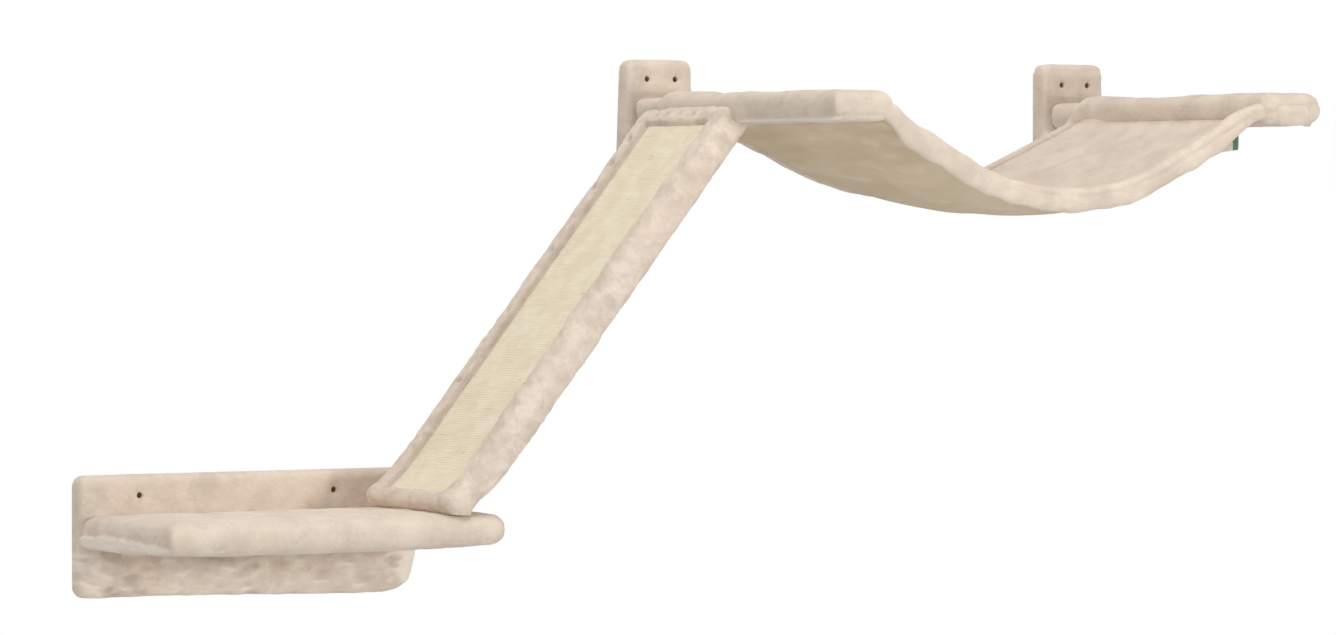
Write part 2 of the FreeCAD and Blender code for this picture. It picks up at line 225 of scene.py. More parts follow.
def plush(name, pale, rosy, dusky, patch=0.038):
    """Plush in three tones with patches of this size."""
    cloth = Finish(name, {
        "Roughness": 0.95,
        "Specular IOR Level": 0.08,
        "Sheen Weight": 0.22,
        "Sheen Roughness": 0.45,
        "Sheen Tint": (1.0, 0.95, 0.89, 1.0),
    })
    place = cloth.place()
    hand = cloth.grain(place, patch, detail=4.0, distortion=0.5)
    finger = cloth.grain(place, finger_size, detail=4.0, distortion=0.8)
    blush = cloth.grain(place, blush_size, detail=3.0)
    tuft = cloth.grain(place, tuft_size, detail=3.0, distortion=0.6)
    hair = cloth.grain(place, hair_size, detail=2.0)
    pile_and_shade = cloth.node("ShaderNodeAttribute", {"attribute_name": "pile_tone_and_shade"}, output="Fac")
    combed = cloth.between(0.58 * hand + 0.24 * finger + 0.18 * tuft, 0.38, 0.62)
    colour = cloth.mix(combed, dusky, pale)
    colour = cloth.mix(cloth.between(blush, 0.48, 0.70) * 0.8, colour, rosy)
    colour = cloth.mix(cloth.between(tuft, 0.36, 0.66) * 0.30, colour, dusky)
    # Painted light and shade, with the pile's own patches, from each point's attribute.
    colour = cloth.mix(cloth.between(pile_and_shade, 0.0, 1.0), colour, pale_pile_and_light)
    colour = cloth.mix(cloth.between(0.0 - pile_and_shade, 0.0, 1.0) * 0.75, colour, dark_pile_and_shade)
    relief = 0.40 * tuft + 0.30 * finger + 0.30 * hair
    return cloth.show(Base_Color=colour, Normal=cloth.bump(relief, pile_relief, 0.7))


plush_finish = plush(
    "beige_plush",
    pale=(0.81, 0.700, 0.580, 1.0),
    rosy=(0.76, 0.625, 0.515, 1.0),
    dusky=(0.675, 0.570, 0.470, 1.0),
)
ruffled_finish = plush(
    "beige_plush_ruffled",
    pale=(0.83, 0.715, 0.600, 1.0),
    rosy=(0.79, 0.650, 0.545, 1.0),
    dusky=(0.655, 0.545, 0.450, 1.0),
    patch=0.021,
)
# The wall panels get a darker, pinker copy of the plush.
panel_finish = plush(
    "beige_plush_darker_panels",
    pale=(0.79, 0.675, 0.565, 1.0),
    rosy=(0.755, 0.632, 0.528, 1.0),
    dusky=(0.655, 0.555, 0.465, 1.0),
    patch=0.030,
)

# %% [markdown]
# ## Lining
#
# The hammock's underside is a plain tan cloth with a brushed face. Fine crossed threads show in its
# relief, and long faint streaks run the way that the cloth is pulled.

# %% Lining
lining_cloud_size = 0.05
lining_fleck_size = 0.018
thread_scale = 260.0
weave_relief = 0.0004


def brushed_lining():
    cloth = Finish("tan_lining", {
        "Roughness": 0.9,
        "Specular IOR Level": 0.12,
        "Sheen Weight": 0.45,
        "Sheen Roughness": 0.4,
        "Sheen Tint": (1.0, 0.94, 0.86, 1.0),
    })
    place = cloth.place()
    pulled = cloth.node("ShaderNodeMapping", inputs={"Vector": place, "Scale": (1.0, 0.35, 1.0)})
    cloud = cloth.grain(pulled, lining_cloud_size, detail=4.0, distortion=0.7)
    fleck = cloth.grain(pulled, lining_fleck_size, detail=3.0, distortion=0.4)
    warp = cloth.node("ShaderNodeTexWave", {"bands_direction": "X"}, {"Vector": place, "Scale": thread_scale})
    weft = cloth.node("ShaderNodeTexWave", {"bands_direction": "Y"}, {"Vector": place, "Scale": thread_scale})
    deep, light = (0.655, 0.520, 0.330, 1.0), (0.770, 0.625, 0.430, 1.0)
    colour = cloth.mix(cloth.between(cloud, 0.35, 0.68), deep, light)
    # Pale flecks here and there.
    flecked = cloth.mix(cloth.between(fleck, 0.56, 0.76) * 0.42, colour, (0.90, 0.780, 0.640, 1.0))
    return cloth.show(Base_Color=flecked, Normal=cloth.bump(0.5 * warp + 0.5 * weft, weave_relief, 0.5))


lining_finish = brushed_lining()

# %% [markdown]
# ## Sisal
#
# The mat is woven of pale straw-coloured sisal, in fine ribs across the ramp. The ribs themselves are
# modelled. The finish adds the strands along each rib, darker spaces between ribs, and a few greenish
# and brown fibres. The ramp slopes, so a Mapping node turns the pattern with it.

# %% Sisal
fibre_size = 0.0016
straw_cloud_size = 0.03
stray_size = 0.0030


def woven_sisal(slope, rib):
    weave = Finish("straw_sisal", {"Roughness": 0.85, "Specular IOR Level": 0.2})
    along = weave.node("ShaderNodeMapping", {"vector_type": "TEXTURE"}, {
        "Vector": weave.place(), "Rotation": (0.0, -slope, 0.0)})
    strand = weave.node("ShaderNodeMapping", inputs={"Vector": along, "Scale": (1.0, 0.08, 1.0)})
    ribs = weave.node("ShaderNodeTexWave", {"bands_direction": "X"}, {
        "Vector": along, "Scale": math.pi / (10 * rib), "Distortion": 0.6, "Detail": 1.0})
    fibre = weave.grain(strand, fibre_size, detail=3.0)
    cloud = weave.grain(along, straw_cloud_size, detail=4.0, distortion=0.5)
    stray = weave.grain(strand, stray_size, detail=1.0, distortion=1.5)
    deep, light = (0.835, 0.730, 0.545, 1.0), (0.905, 0.810, 0.640, 1.0)
    colour = weave.mix(weave.between(cloud, 0.35, 0.68), deep, light)
    colour = weave.mix(weave.between(fibre, 0.30, 0.72) * 0.35, colour, (0.71, 0.605, 0.42, 1.0))
    colour = weave.mix(weave.between(stray, 0.70, 0.78) * 0.45, colour, (0.42, 0.36, 0.22, 1.0))
    return weave.show(Base_Color=colour, Normal=weave.bump(0.6 * fibre + 0.4 * ribs, weave_relief, 0.6))


# %% [markdown]
# ## Boards and steel
#
# The bare chipboard shows only behind, inside the fold of the plush: pressed flakes of several browns.
# Screws, staples and the strap have a dull zinc coat with a faint cloud in its gloss.

# %% Chipboard and zinc
flake_scale = 330.0
dust_size = 0.0012
chip_relief = 0.0005
zinc_cloud_size = 0.004
zinc_relief = 0.0001


def pressed_chips():
    board = Finish("raw_chipboard", {"Roughness": 0.8, "Specular IOR Level": 0.25})
    place = board.place()
    flake = board.node("ShaderNodeTexVoronoi", inputs={"Vector": place, "Scale": flake_scale}, output="Color")
    tone = board.node("ShaderNodeSeparateColor", inputs={"Color": flake})
    colour = board.mix(tone, (0.33, 0.21, 0.11, 1.0), (0.62, 0.46, 0.28, 1.0))
    dust = board.grain(place, dust_size, detail=3.0)
    colour = board.mix(board.between(dust, 0.35, 0.7) * 0.4, colour, (0.50, 0.36, 0.21, 1.0))
    return board.show(Base_Color=colour, Normal=board.bump(0.5 * tone + 0.5 * dust, chip_relief, 0.6))


def dull_zinc():
    metal = Finish("dull_zinc", {"Metallic": 1.0, "Base Color": (0.62, 0.62, 0.61, 1.0)})
    cloud = metal.grain(metal.place(), zinc_cloud_size, detail=4.0)
    return metal.show(Roughness=0.32 + 0.22 * cloud, Normal=metal.bump(cloud, zinc_relief, 0.3))


chip_finish = pressed_chips()
zinc_finish = dull_zinc()

# %% [markdown]
# ## From a bmesh to a piece
#
# Each piece of cloth is shaped as a bmesh and then becomes an object that rides on the set, stands for
# its CAD solid and takes its material. Open sheets are thickened first.

# %% Making a piece
def piece_from(bm, name, material, slot, *nodes):
    mesh = bpy.data.meshes.new(name)
    bmesh.ops.recalc_face_normals(bm, faces=bm.faces)
    bm.to_mesh(mesh)
    bm.free()
    mesh.materials.append(material)
    mesh.shade_smooth()
    piece = bpy.data.objects.new(name, mesh)
    bpy.context.collection.objects.link(piece)
    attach(piece, "root")
    if nodes:
        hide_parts(*nodes)
    print("piece", name, "has", len(mesh.polygons), "faces")
    return piece


def thickened(bm, up, thickness):
    """Gives an open sheet its thickness: under its surface, or over it where the thickness is negative."""
    bmesh.ops.recalc_face_normals(bm, faces=bm.faces)
    if sum(f.normal.dot(up) for f in bm.faces) < 0:
        bmesh.ops.reverse_faces(bm, faces=bm.faces)
    bmesh.ops.solidify(bm, geom=bm.faces[:], thickness=thickness)


def surface_of(piece):
    """A finished piece's surface, on which places can be looked up."""
    mesh = piece.data
    return BVHTree.FromPolygons([v.co for v in mesh.vertices], [p.vertices for p in mesh.polygons])


# %% [markdown]
# ## An even net
#
# To rumple cloth anywhere, its surface needs small faces of one size everywhere. A board's outline has
# few large faces, so the form is drawn first with exact corners and rims, and a voxel remesh then lays
# an even net over it. A little smoothing takes out the steps of the voxels.

# %% Nets over forms
same_place = 0.00001


def read_back(holder):
    """The mesh of an object with its modifiers, as a bmesh. The object is removed."""
    fresh = bmesh.new()
    fresh.from_object(holder, bpy.context.evaluated_depsgraph_get())
    old = holder.data
    bpy.data.objects.remove(holder)
    bpy.data.meshes.remove(old)
    return fresh


def held(bm, name):
    """A bmesh as an object for a moment, so that a modifier can work on it."""
    mesh = bpy.data.meshes.new(name)
    bm.to_mesh(mesh)
    bm.free()
    holder = bpy.data.objects.new(name, mesh)
    bpy.context.collection.objects.link(holder)
    return holder


def netted(bm, cell, softening=3):
    """The same form as one even net of small faces."""
    holder = held(bm, "netting")
    remesh = holder.modifiers.new("even_net", "REMESH")
    remesh.mode = "VOXEL"
    remesh.voxel_size = cell
    fresh = read_back(holder)
    for _ in range(softening):
        bmesh.ops.smooth_vert(fresh, verts=fresh.verts, factor=0.5,
                              use_axis_x=True, use_axis_y=True, use_axis_z=True)
    return fresh


def carved(bm, cutters):
    """A form with other forms cut out of it."""
    holder = held(bm, "carving")
    tools = [held(cutter, "cutter") for cutter in cutters]
    for tool in tools:
        knife = holder.modifiers.new("knife", "BOOLEAN")
        knife.operation = "DIFFERENCE"
        knife.solver = "EXACT"
        knife.object = tool
    fresh = read_back(holder)
    for tool in tools:
        read_back(tool).free()
    return fresh


# %% [markdown]
# ## Padded slabs
#
# Shelf, arms, ramp and wall panels are all a board with round corners and soft rims. The outline starts
# as one square face. Bevelling its corner points rounds the outline, extruding raises it, and bevelling
# the two rims makes it soft. Where a board butts against another, its edge stays sharp.

# %% Slabs
corner_steps = 8
rim_steps = 6


def slab(size, radii, low_rim, high_rim, butted_rear=False):
    """A padded slab from its low corner; radii go round from the near left corner."""
    bm = bmesh.new()
    bmesh.ops.create_grid(bm, x_segments=1, y_segments=1, size=0.5)
    bmesh.ops.translate(bm, vec=(0.5, 0.5, 0.0), verts=bm.verts)
    bmesh.ops.scale(bm, vec=(size[0], size[1], 1.0), verts=bm.verts)
    places = ((0, 0), (size[0], 0), (size[0], size[1]), (0, size[1]))
    corners = [min(bm.verts, key=lambda v: (v.co.xy - Vector(place)).length) for place in places]
    for corner, radius in zip(corners, radii):
        if radius > 0:
            bmesh.ops.bevel(bm, geom=[corner], offset=radius, offset_type="OFFSET", affect="VERTICES",
                            segments=corner_steps, profile=0.5, material=-1)
    raised = bmesh.ops.extrude_face_region(bm, geom=bm.faces[:])["geom"]
    top = [g for g in raised if isinstance(g, bmesh.types.BMVert)]
    bmesh.ops.translate(bm, vec=(0, 0, size[2]), verts=top)
    bmesh.ops.recalc_face_normals(bm, faces=bm.faces)
    for level, rim in ((0, low_rim), (size[2], high_rim)):
        edges = [e for e in bm.edges if all(abs(v.co.z - level) < same_place for v in e.verts)]
        if butted_rear:
            edges = [e for e in edges if any(abs(v.co.y - size[1]) > same_place for v in e.verts)]
        bmesh.ops.bevel(bm, geom=edges, offset=rim, offset_type="OFFSET", affect="EDGES",
                        segments=rim_steps, profile=0.5, material=-1)
    return bm


# %% [markdown]
# ## Rumpling
#
# Wrapped cloth is never flat: it swells in slow waves, it is lumpy where the pile stands up, and it
# folds where there is too much of it. `pushed` moves every point along its own normal by what a
# function says for that place. `pile_height` is the swell and the lumps, and a `fold` is a soft ridge
# along a bent line. Another function notes for every point how pale or dark the plush is drawn there,
# from the pile's own patches and from painted light and shade. Other unevenness is noise with lumps of
# a named size. A plain number in place of a coordinate picks the pattern, and its size is 1.

# %% Rumples
pile_waves = ((0.0011, 0.060), (0.0007, 0.020), (0.0004, 0.0055))


def rough(place, lumps):
    """Smooth noise from -1 to 1, with lumps of these sizes along X, Y and Z."""
    return noise.noise(Vector([at / size for at, size in zip(place, lumps)]))


def pile_height(place, waves=pile_waves):
    """How far plush stands out at a place, from waves of a height and a size."""
    return sum(height * noise.noise(place / size) for height, size in waves)


def pushed(bm, distance):
    """Moves every point along its normal by a distance that depends on its place and normal."""
    bm.normal_update()
    moves = [(v, v.normal * distance(v.co, v.normal)) for v in bm.verts]
    for v, move in moves:
        v.co += move
    return bm


def note_pile_and_shade(bm, pile_and_shade):
    """Notes for every point its pile tone and painted light and shade, which a function gives for its place
    and normal.
    """
    bm.normal_update()
    layer = bm.verts.layers.float.new("pile_tone_and_shade")
    for v in bm.verts:
        v[layer] = pile_and_shade(v.co, v.normal)
    return bm


def ease(value, low, high):
    """0 below low, 1 above high, and a smooth step between."""
    share = min(1.0, max(0.0, (value - low) / (high - low)))
    return share * share * (3 - 2 * share)


def fold(start, bend, end, height, width):
    """A soft ridge along a bent line, which runs out at both ends."""
    steps = 14
    a, b, c = Vector(start), Vector(bend), Vector(end)

    def along(t):
        return a * (1 - t) ** 2 + b * 2 * t * (1 - t) + c * t * t

    shares = [i / steps for i in range(steps + 1)]
    spine = [(along(t), math.sin(math.pi * t) ** 0.7) for t in shares]
    reach = max((p - b).length for p, _ in spine) + 3 * width

    def lift(place):
        if (place - b).length > reach:
            return 0.0
        gap, swell = min(((place - p).length, s) for p, s in spine)
        return height * swell * math.exp(-(gap / width) ** 2)
    return lift


# %% [markdown]
# ## Wall panels
#
# The shelf's backboard and the two arm plates are boards with plush drawn over the front and folded
# onto the back, where the middle stays bare. The cover is a slab that stands up. The bare middle is cut
# out of its back, so that the fold is left round it, and the screw holes go right through. The plush
# sinks in a little round each hole and, behind, round each staple.

# %% Wall panels
panel_cell = 0.0025
panel_corner = 0.011
panel_rim = 0.009
panel_back_rim = 0.002
backboard_right_corner = 0.040
fold_sides = 0.014
fold_ends = 0.034
window_depth = 0.006
hole_radius = 0.0034
hole_dip = 0.0022
hole_dip_width = 0.0065
drill_sides = 20
mm_per_metre = 1000


def standing(low, high):
    """Turns a slab that was drawn lying down so that it stands against the wall."""
    return Matrix.Translation((low.x, high.y, low.z)) @ Matrix.Rotation(math.pi / 2, 4, "X")


def wall_holes(mount_name):
    """The two screw holes of a bolt pattern in the record, as places on the wall."""
    mount = next(m for m in frame["record"]["mounts"] if m["name"] == mount_name)
    half = mount["dims"]["spacing_x_mm"] / 2 / mm_per_metre
    return [Vector(mount["pos_m"]) + Vector((side * half, 0, 0)) for side in (-1, 1)]


def drill(radius, depth, place):
    """A round cutter along the local Z of a place."""
    bm = bmesh.new()
    bmesh.ops.create_cone(bm, cap_ends=True, segments=drill_sides, radius1=radius, radius2=radius,
                          depth=depth, matrix=place)
    return bm


def hole_knife(hole, depth):
    return drill(hole_radius, 3 * depth, Matrix.Translation(hole) @ Matrix.Rotation(math.pi / 2, 4, "X"))


def window_knife(low, high):
    bm = bmesh.new()
    bmesh.ops.create_cube(bm, size=1.0)
    size = Vector((high.x - low.x - 2 * fold_sides, 2 * window_depth, high.z - low.z - 2 * fold_ends))
    middle = Vector(((low.x + high.x) / 2, high.y, (low.z + high.z) / 2))
    bmesh.ops.transform(bm, matrix=Matrix.LocRotScale(middle, None, size), verts=bm.verts)
    return bm


staple_pitch = 0.045
staple_dip = 0.0014
staple_dip_width = 0.0045


def evenly(start, end):
    """Places at about the staples' pitch between two ends."""
    count = max(1, round((end - start) / staple_pitch))
    return [start + (end - start) * i / count for i in range(count + 1)]


def panel_staples(low, high):
    """Places of the staples in the plush that is folded onto a panel's back, and whether each lies level."""
    left, right = low.x + 0.5 * fold_sides, high.x - 0.5 * fold_sides
    bottom, top = low.z + 0.7 * fold_ends, high.z - 0.7 * fold_ends
    across = evenly(left + fold_sides, right - fold_sides)
    up = evenly(bottom + fold_sides, top - fold_sides)
    level = [(Vector((x, high.y, z)), True) for x in across for z in (bottom, top)]
    upright = [(Vector((x, high.y, z)), False) for z in up for x in (left, right)]
    return level + upright


def wall_panel(name, node, mount_name, radii, fuller,
               rumple=lambda place: 0.0, pile_and_shade=lambda place, normal: 0.0):
    """Plush on a panel; fuller pads its edges, rumple gives folds by place, and the last gives tone, painted
    light and shade.
    """
    low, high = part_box(node)
    depth = high.y - low.y
    bm = slab((high.x - low.x, high.z - low.z, depth), radii, panel_back_rim, panel_rim)
    bmesh.ops.transform(bm, matrix=standing(low, high), verts=bm.verts)
    bm = netted(bm, panel_cell)
    holes = wall_holes(mount_name)
    staples = panel_staples(low, high)

    def swell(place, normal):
        facing = ease(-normal.y, -0.2, 0.6)
        height = facing * pile_height(place)
        height += facing * rumple(Vector((place.x, 0, place.z))) + fuller(place, normal)
        if normal.y > 0.5:
            gaps = [math.hypot(place.x - spot.x, place.z - spot.z) for spot, _ in staples]
            height -= staple_dip * sum(math.exp(-(gap / staple_dip_width) ** 2) for gap in gaps)
        for hole in holes:
            gap = math.hypot(place.x - hole.x, place.z - hole.z)
            height -= facing * hole_dip * math.exp(-(gap / hole_dip_width) ** 2)
        return height

    pushed(bm, swell)
    for v in bm.verts:
        v.co.y = min(v.co.y, high.y)
    bm = carved(bm, [window_knife(low, high)] + [hole_knife(hole, depth) for hole in holes])
    panel = piece_from(note_pile_and_shade(bm, pile_and_shade), name, panel_finish, "plush", node)


backboard_folds = [
    fold((-0.163, 0, -0.099), (-0.135, 0, -0.070), (-0.090, 0, -0.084), 0.0046, 0.0055),
    fold((-0.158, 0, -0.104), (-0.130, 0, -0.088), (-0.100, 0, -0.100), 0.0034, 0.0045),
    fold((0.150, 0, -0.076), (0.185, 0, -0.062), (0.214, 0, -0.070), 0.0040, 0.0050),
    fold((-0.080, 0, -0.066), (-0.020, 0, -0.078), (0.050, 0, -0.064), 0.0020, 0.0080),
    fold((0.020, 0, -0.094), (0.080, 0, -0.082), (0.140, 0, -0.095), 0.0022, 0.0080),
]
below_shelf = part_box("shelf_board_cover")[0].z
below_shelf_edge = 0.006
wrinkle_height = 0.0011
wide_wrinkle, narrow_wrinkle = (0.034, 1, 0.019), (0.015, 1, 0.010)
# Painted light and shade on the backboard. Under the shelf: pale wrinkle ridges and shaded valleys, a lighter
# tone overall, a lit strip at the left end and shadows under the folds. All down the rounded right end: a
# painted highlight. The wisps are the plush's own pale streaks.
wrinkle_light_and_shade_tone = 0.46
wisp_lumps, wisp_floor, wisp_tone = (0.022, 1, 0.0045), 0.1, 1.2
under_shelf_light_tone = 0.06
lit_end_width, lit_end_edge, lit_end_tone = 0.036, 0.022, 1.2
lit_end_wander, lit_end_lumps = 0.006, 0.012
lit_strip_width, lit_strip_edge, lit_strip_tone = 0.038, 0.020, 0.32
lit_strip_wander, lit_strip_lumps = 0.03, 0.015
fold_shade_tone = 150
fold_shadow = 0.005
backboard_hang = 0.0050
hang_start, hang_full = -0.10, 0.16
backboard_low, backboard_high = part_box("shelf_backboard_cover")
lit_end = backboard_high.x - lit_end_width
lit_strip = backboard_low.x + lit_strip_width


def under_shelf(place):
    return ease(below_shelf - place.z, 0.0, below_shelf_edge)


def wrinkle(place):
    """Short ridges, as in plush that lies loose: 1 on a ridge, below 0 in a valley."""
    wide = abs(rough((place.x, 0, place.z), wide_wrinkle))
    narrow = abs(rough((place.x, 9.0, place.z), narrow_wrinkle))
    return 1 - 3.2 * wide - 1.6 * narrow


def backboard_rumple(place):
    loose = wrinkle_height * under_shelf(place) * wrinkle(place)
    return sum(lift(place) for lift in backboard_folds) + loose


# Painted light on the right end and the left strip, painted light and shade on the wrinkles, painted shadows
# under the folds; the wisps are the pile's own.
def backboard_pile_and_shade(place, normal):
    end_wander = lit_end_wander * noise.noise(place / lit_end_lumps)
    end = lit_end_tone * ease(place.x + end_wander, lit_end, lit_end + lit_end_edge)
    strip_wander = lit_strip_wander * noise.noise(place / lit_strip_lumps)
    strip = lit_strip_tone * ease(lit_strip - place.x + strip_wander, 0.0, lit_strip_edge)
    folds = fold_shade_tone * sum(lift(Vector((place.x, 0, place.z + fold_shadow))) for lift in backboard_folds)
    wisp = max(0.0, rough((place.x, 0, place.z), wisp_lumps) - wisp_floor)
    shade = wrinkle_light_and_shade_tone * wrinkle(place) + under_shelf_light_tone + wisp_tone * wisp
    return end + under_shelf(place) * (strip + shade - folds)


def backboard_fuller(place, normal):
    """The plush hangs a little below the board towards its right end."""
    return backboard_hang * ease(-normal.z, 0.3, 0.9) * ease(place.x, hang_start, hang_full)


plates_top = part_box("left_wall_plate_cover")[1].z
left_plate_spare, left_plate_flare = 0.0022, 0.045
right_plate_spare, right_plate_top_spare = 0.0045, 0.0024


def left_plate_fuller(place, normal):
    """The left edge gets wider downwards."""
    return (left_plate_spare + left_plate_flare * (plates_top - place.z)) * ease(-normal.x, 0.3, 0.9)


def right_plate_fuller(place, normal):
    side = right_plate_spare * ease(-normal.x, 0.3, 0.9)
    return side + right_plate_top_spare * ease(normal.z, 0.3, 0.9)


wall_panel("shelf_backboard_plush", "shelf_backboard_cover", "shelf_wall_screws",
           (panel_corner, backboard_right_corner, panel_corner, panel_corner),
           backboard_fuller, backboard_rumple, backboard_pile_and_shade)
for side, fuller, tone in (("left", left_plate_fuller, -0.22), ("right", right_plate_fuller, 0.0)):
    wall_panel(side + "_wall_plate_plush", side + "_wall_plate_cover", side + "_plate_wall_screws",
               (panel_corner,) * 4, fuller, pile_and_shade=lambda place, normal: tone * ease(-normal.y, 0.2, 0.8))

# %% [markdown]
# ## Padding
#
# A padded board is pressed out from inside by its filling. That is what Blender's cloth simulation does
# with pressure: the slab gets an even net and swells for 20 frames without gravity, held where another
# piece is fixed to it. Its faces bow out by about 4 mm. Its edges are drawn in, but the board inside
# stops them, so only moves outwards are kept, and none goes further than a cap. One subdivision then
# makes the net fine enough for the pile.

# %% Padding
padding_cell = 0.0042
padding_cap = 0.0036
padding_pressure = 0.45
padding_frames = 20


def swollen(bm, is_held):
    """A slab swollen by its padding; is_held tells which places are held."""
    bm = netted(bm, padding_cell, softening=1)
    bm.normal_update()
    rest = [v.co.copy() for v in bm.verts]
    outward = [v.normal.copy() for v in bm.verts]
    fixed = [i for i, place in enumerate(rest) if is_held(place)]
    holder = held(bm, "padding")
    holder.vertex_groups.new(name="held").add(fixed, 1.0, "REPLACE")
    cloth = holder.modifiers.new("padding", "CLOTH")
    cloth.settings.use_pressure = True
    cloth.settings.uniform_pressure_force = padding_pressure
    cloth.settings.effector_weights.gravity = 0.0
    cloth.settings.vertex_group_mass = "held"
    cloth.point_cache.frame_end = padding_frames
    for step in range(1, padding_frames + 1):
        bpy.context.scene.frame_set(step)
    bm = read_back(holder)
    bpy.context.scene.frame_set(1)
    gains = [(v.co - place).dot(normal) for v, place, normal in zip(bm.verts, rest, outward)]
    for v, place, normal, gain in zip(bm.verts, rest, outward, gains):
        v.co = place + normal * min(max(gain, 0.0), padding_cap)
    print("padding moved points out by up to", round(max(gains) * mm_per_metre, 2), "mm before its cap,",
          "and in by", round(-min(gains) * mm_per_metre, 2), "mm, which isn't kept")
    holder = held(bm, "refining")
    finer = holder.modifiers.new("finer", "SUBSURF")
    finer.levels = finer.render_levels = 1
    return read_back(holder)


# %% [markdown]
# ## Shelf
#
# The shelf is padded all round, with a rounder right front corner and a crisp left one, where the plush
# is drawn tight round the board. On its left side the plush is loose: a fold of it runs along the lower
# edge, from the backboard to the front corner. Painted light makes the fold pale, painted shade darkens
# the left face above it, and the front face gets a little painted light. Underneath, the plush laps
# over itself, and two wells let in the screws of the ramp's foot.

# %% Shelf
cover_cell = 0.0028
shelf_rim = 0.014
shelf_left_corner = 0.016
shelf_right_corner = 0.033
corner_ridge = 0.0034
corner_ridge_width = 0.0050
loose_fold_out = 0.0046
loose_fold_rise = 0.0140
loose_fold_edge = 0.0016
fold_front_drop, fold_front_run = 0.006, 0.12
fold_rear_drop, fold_rear_run = 0.003, 0.030
left_face_start, left_face_full = 0.004, 0.012
fold_slow_wander, fold_slow_lumps = 0.0032, (0.022, 1, 1)
fold_quick_wander, fold_quick_lumps = 0.0016, (0.008, 1, 1)
fold_ripple, fold_ripple_lumps = 0.5, 0.025
# Painted light on the loose fold, painted shade on the left face above it.
fold_light_tone, left_face_shade_tone = 0.95, -0.27
streak_tone, streak_lumps = 0.25, (0.02, 0.006, 0.004)
fringe_height, fringe_edge, fringe_lumps = 0.010, 0.006, (0.0045, 0.0045, 1)
# A little painted light on the front face; the fringe is the pile's own hair streaks.
front_light_tone, fringe_tone = 0.10, 0.8
lap_step = 0.0014
lap_edge = 0.0012
shelf_lap = -0.105
well_radius = 0.0046
well_depth = 0.008


def ridge(place, corner, radius, toward):
    """How far a tight corner stands out; corner is its sharp place in plan, toward the way it points."""
    inset = radius * (1 - math.sqrt(0.5))
    gap = math.hypot(place.x - corner.x + toward * inset, place.y - corner.y - inset)
    return corner_ridge * math.exp(-(gap / corner_ridge_width) ** 2)


def foot_screw_wells():
    """A drill for each screw that comes up through the shelf into the ramp's foot."""
    low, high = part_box("ramp_foot_screws")
    middle, head = (low.x + high.x) / 2, (high.x - low.x) / 2
    places = [Matrix.Translation((middle, y, below_shelf)) for y in (low.y + head, high.y - head)]
    return [drill(well_radius, 2 * well_depth, place) for place in places]


def shelf_cover():
    low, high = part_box("shelf_board_cover")
    radii = (shelf_left_corner, shelf_right_corner, 0, 0)
    bm = slab(high - low, radii, shelf_rim, shelf_rim, butted_rear=True)
    bmesh.ops.translate(bm, vec=low, verts=bm.verts)
    bm = swollen(bm, lambda place: place.y > high.y - padding_cell)

    def in_fold(place):
        """1 inside the loose fold on the left side, 0 above it."""
        drop = fold_front_drop * ease(place.y, low.y + fold_front_run, low.y)
        drop += fold_rear_drop * ease(place.y, high.y - fold_rear_run, high.y)
        wander = fold_slow_wander * rough((place.y, 0, 0), fold_slow_lumps)
        wander += fold_quick_wander * rough((place.y, 4, 0), fold_quick_lumps)
        return ease(low.z + loose_fold_rise - drop + wander - place.z, -loose_fold_edge, loose_fold_edge)

    def swell(place, normal):
        height = pile_height(place) + ridge(place, low, shelf_left_corner, -1) * (1 - abs(normal.z))
        if normal.x < 0:
            ripple = 1 + fold_ripple * noise.noise(place / fold_ripple_lumps)
            height += loose_fold_out * ripple * in_fold(place) * -normal.x
        if normal.z < -0.5:
            height += lap_step * ease(place.y, shelf_lap - lap_edge, shelf_lap + lap_edge)
        return height

    # Painted light and shade on the left side and the front; streaks and fringe are the pile's own.
    def pile_and_shade(place, normal):
        past_corner = ease(place.y, low.y + left_face_start, low.y + left_face_full)
        left = ease(-normal.x, 0.4, 0.8) * past_corner
        streak = streak_tone * rough(place, streak_lumps)
        fringe = ease(low.z + fringe_height - place.z, 0.0, fringe_edge)
        fringe *= rough((place.x, place.y, 2.0), fringe_lumps)
        front = ease(-normal.y, 0.3, 0.8) * (front_light_tone + fringe_tone * fringe)
        return left * (fold_light_tone * in_fold(place) + left_face_shade_tone + streak) + front

    pushed(bm, swell)
    bm = carved(bm, foot_screw_wells())
    cover = piece_from(note_pile_and_shade(bm, pile_and_shade), "shelf_plush", plush_finish, "plush", "shelf_board_cover")
    return cover


shelf_piece = shelf_cover()

# %% [markdown]
# ## Arms and their pockets
#
# Each arm is a padded bar. The hammock ends in two pockets that are pulled over the arms and closed at
# the front by one seam across the tip. A pocket is one layer of cloth: a grown arm whose rear cap is
# cut off, and whose wall then gets its thickness inwards. Its open end is turned over into a thick
# roll. At the tip the sling's pull draws the inner upper edge down into a slope, which the front hem
# carries on. The right arm stands a little higher at its tip than at the wall.

# %% Arms and pockets
arm_corner = 0.013
arm_rim = 0.011
pocket_grow = 0.0028
pocket_cloth = 0.0025
pocket_roll = 0.0036
pocket_roll_width = 0.010
tip_seam_depth = 0.0017
tip_seam_width = 0.0028
pull_widths = {"left": 0.017, "right": 0.005}
pull_slope = 0.80
pull_reach = 0.045
arm_rises = {"left": 0.0, "right": 0.0030}
arm_tucks = {"left": 0.0030, "right": 0.0}
mouth_slant = 0.45
pocket_tips = {
    "left": {"tip_seam_rise": 0.14, "tip_seam_slant": 0.0, "tip_slack": 0.0},
    "right": {"tip_seam_rise": 0.50, "tip_seam_slant": 0.15, "tip_slack": 0.005},
}
low_edge_height, low_edge_blur, low_edge_tone = 0.0055, 0.003, 0.8
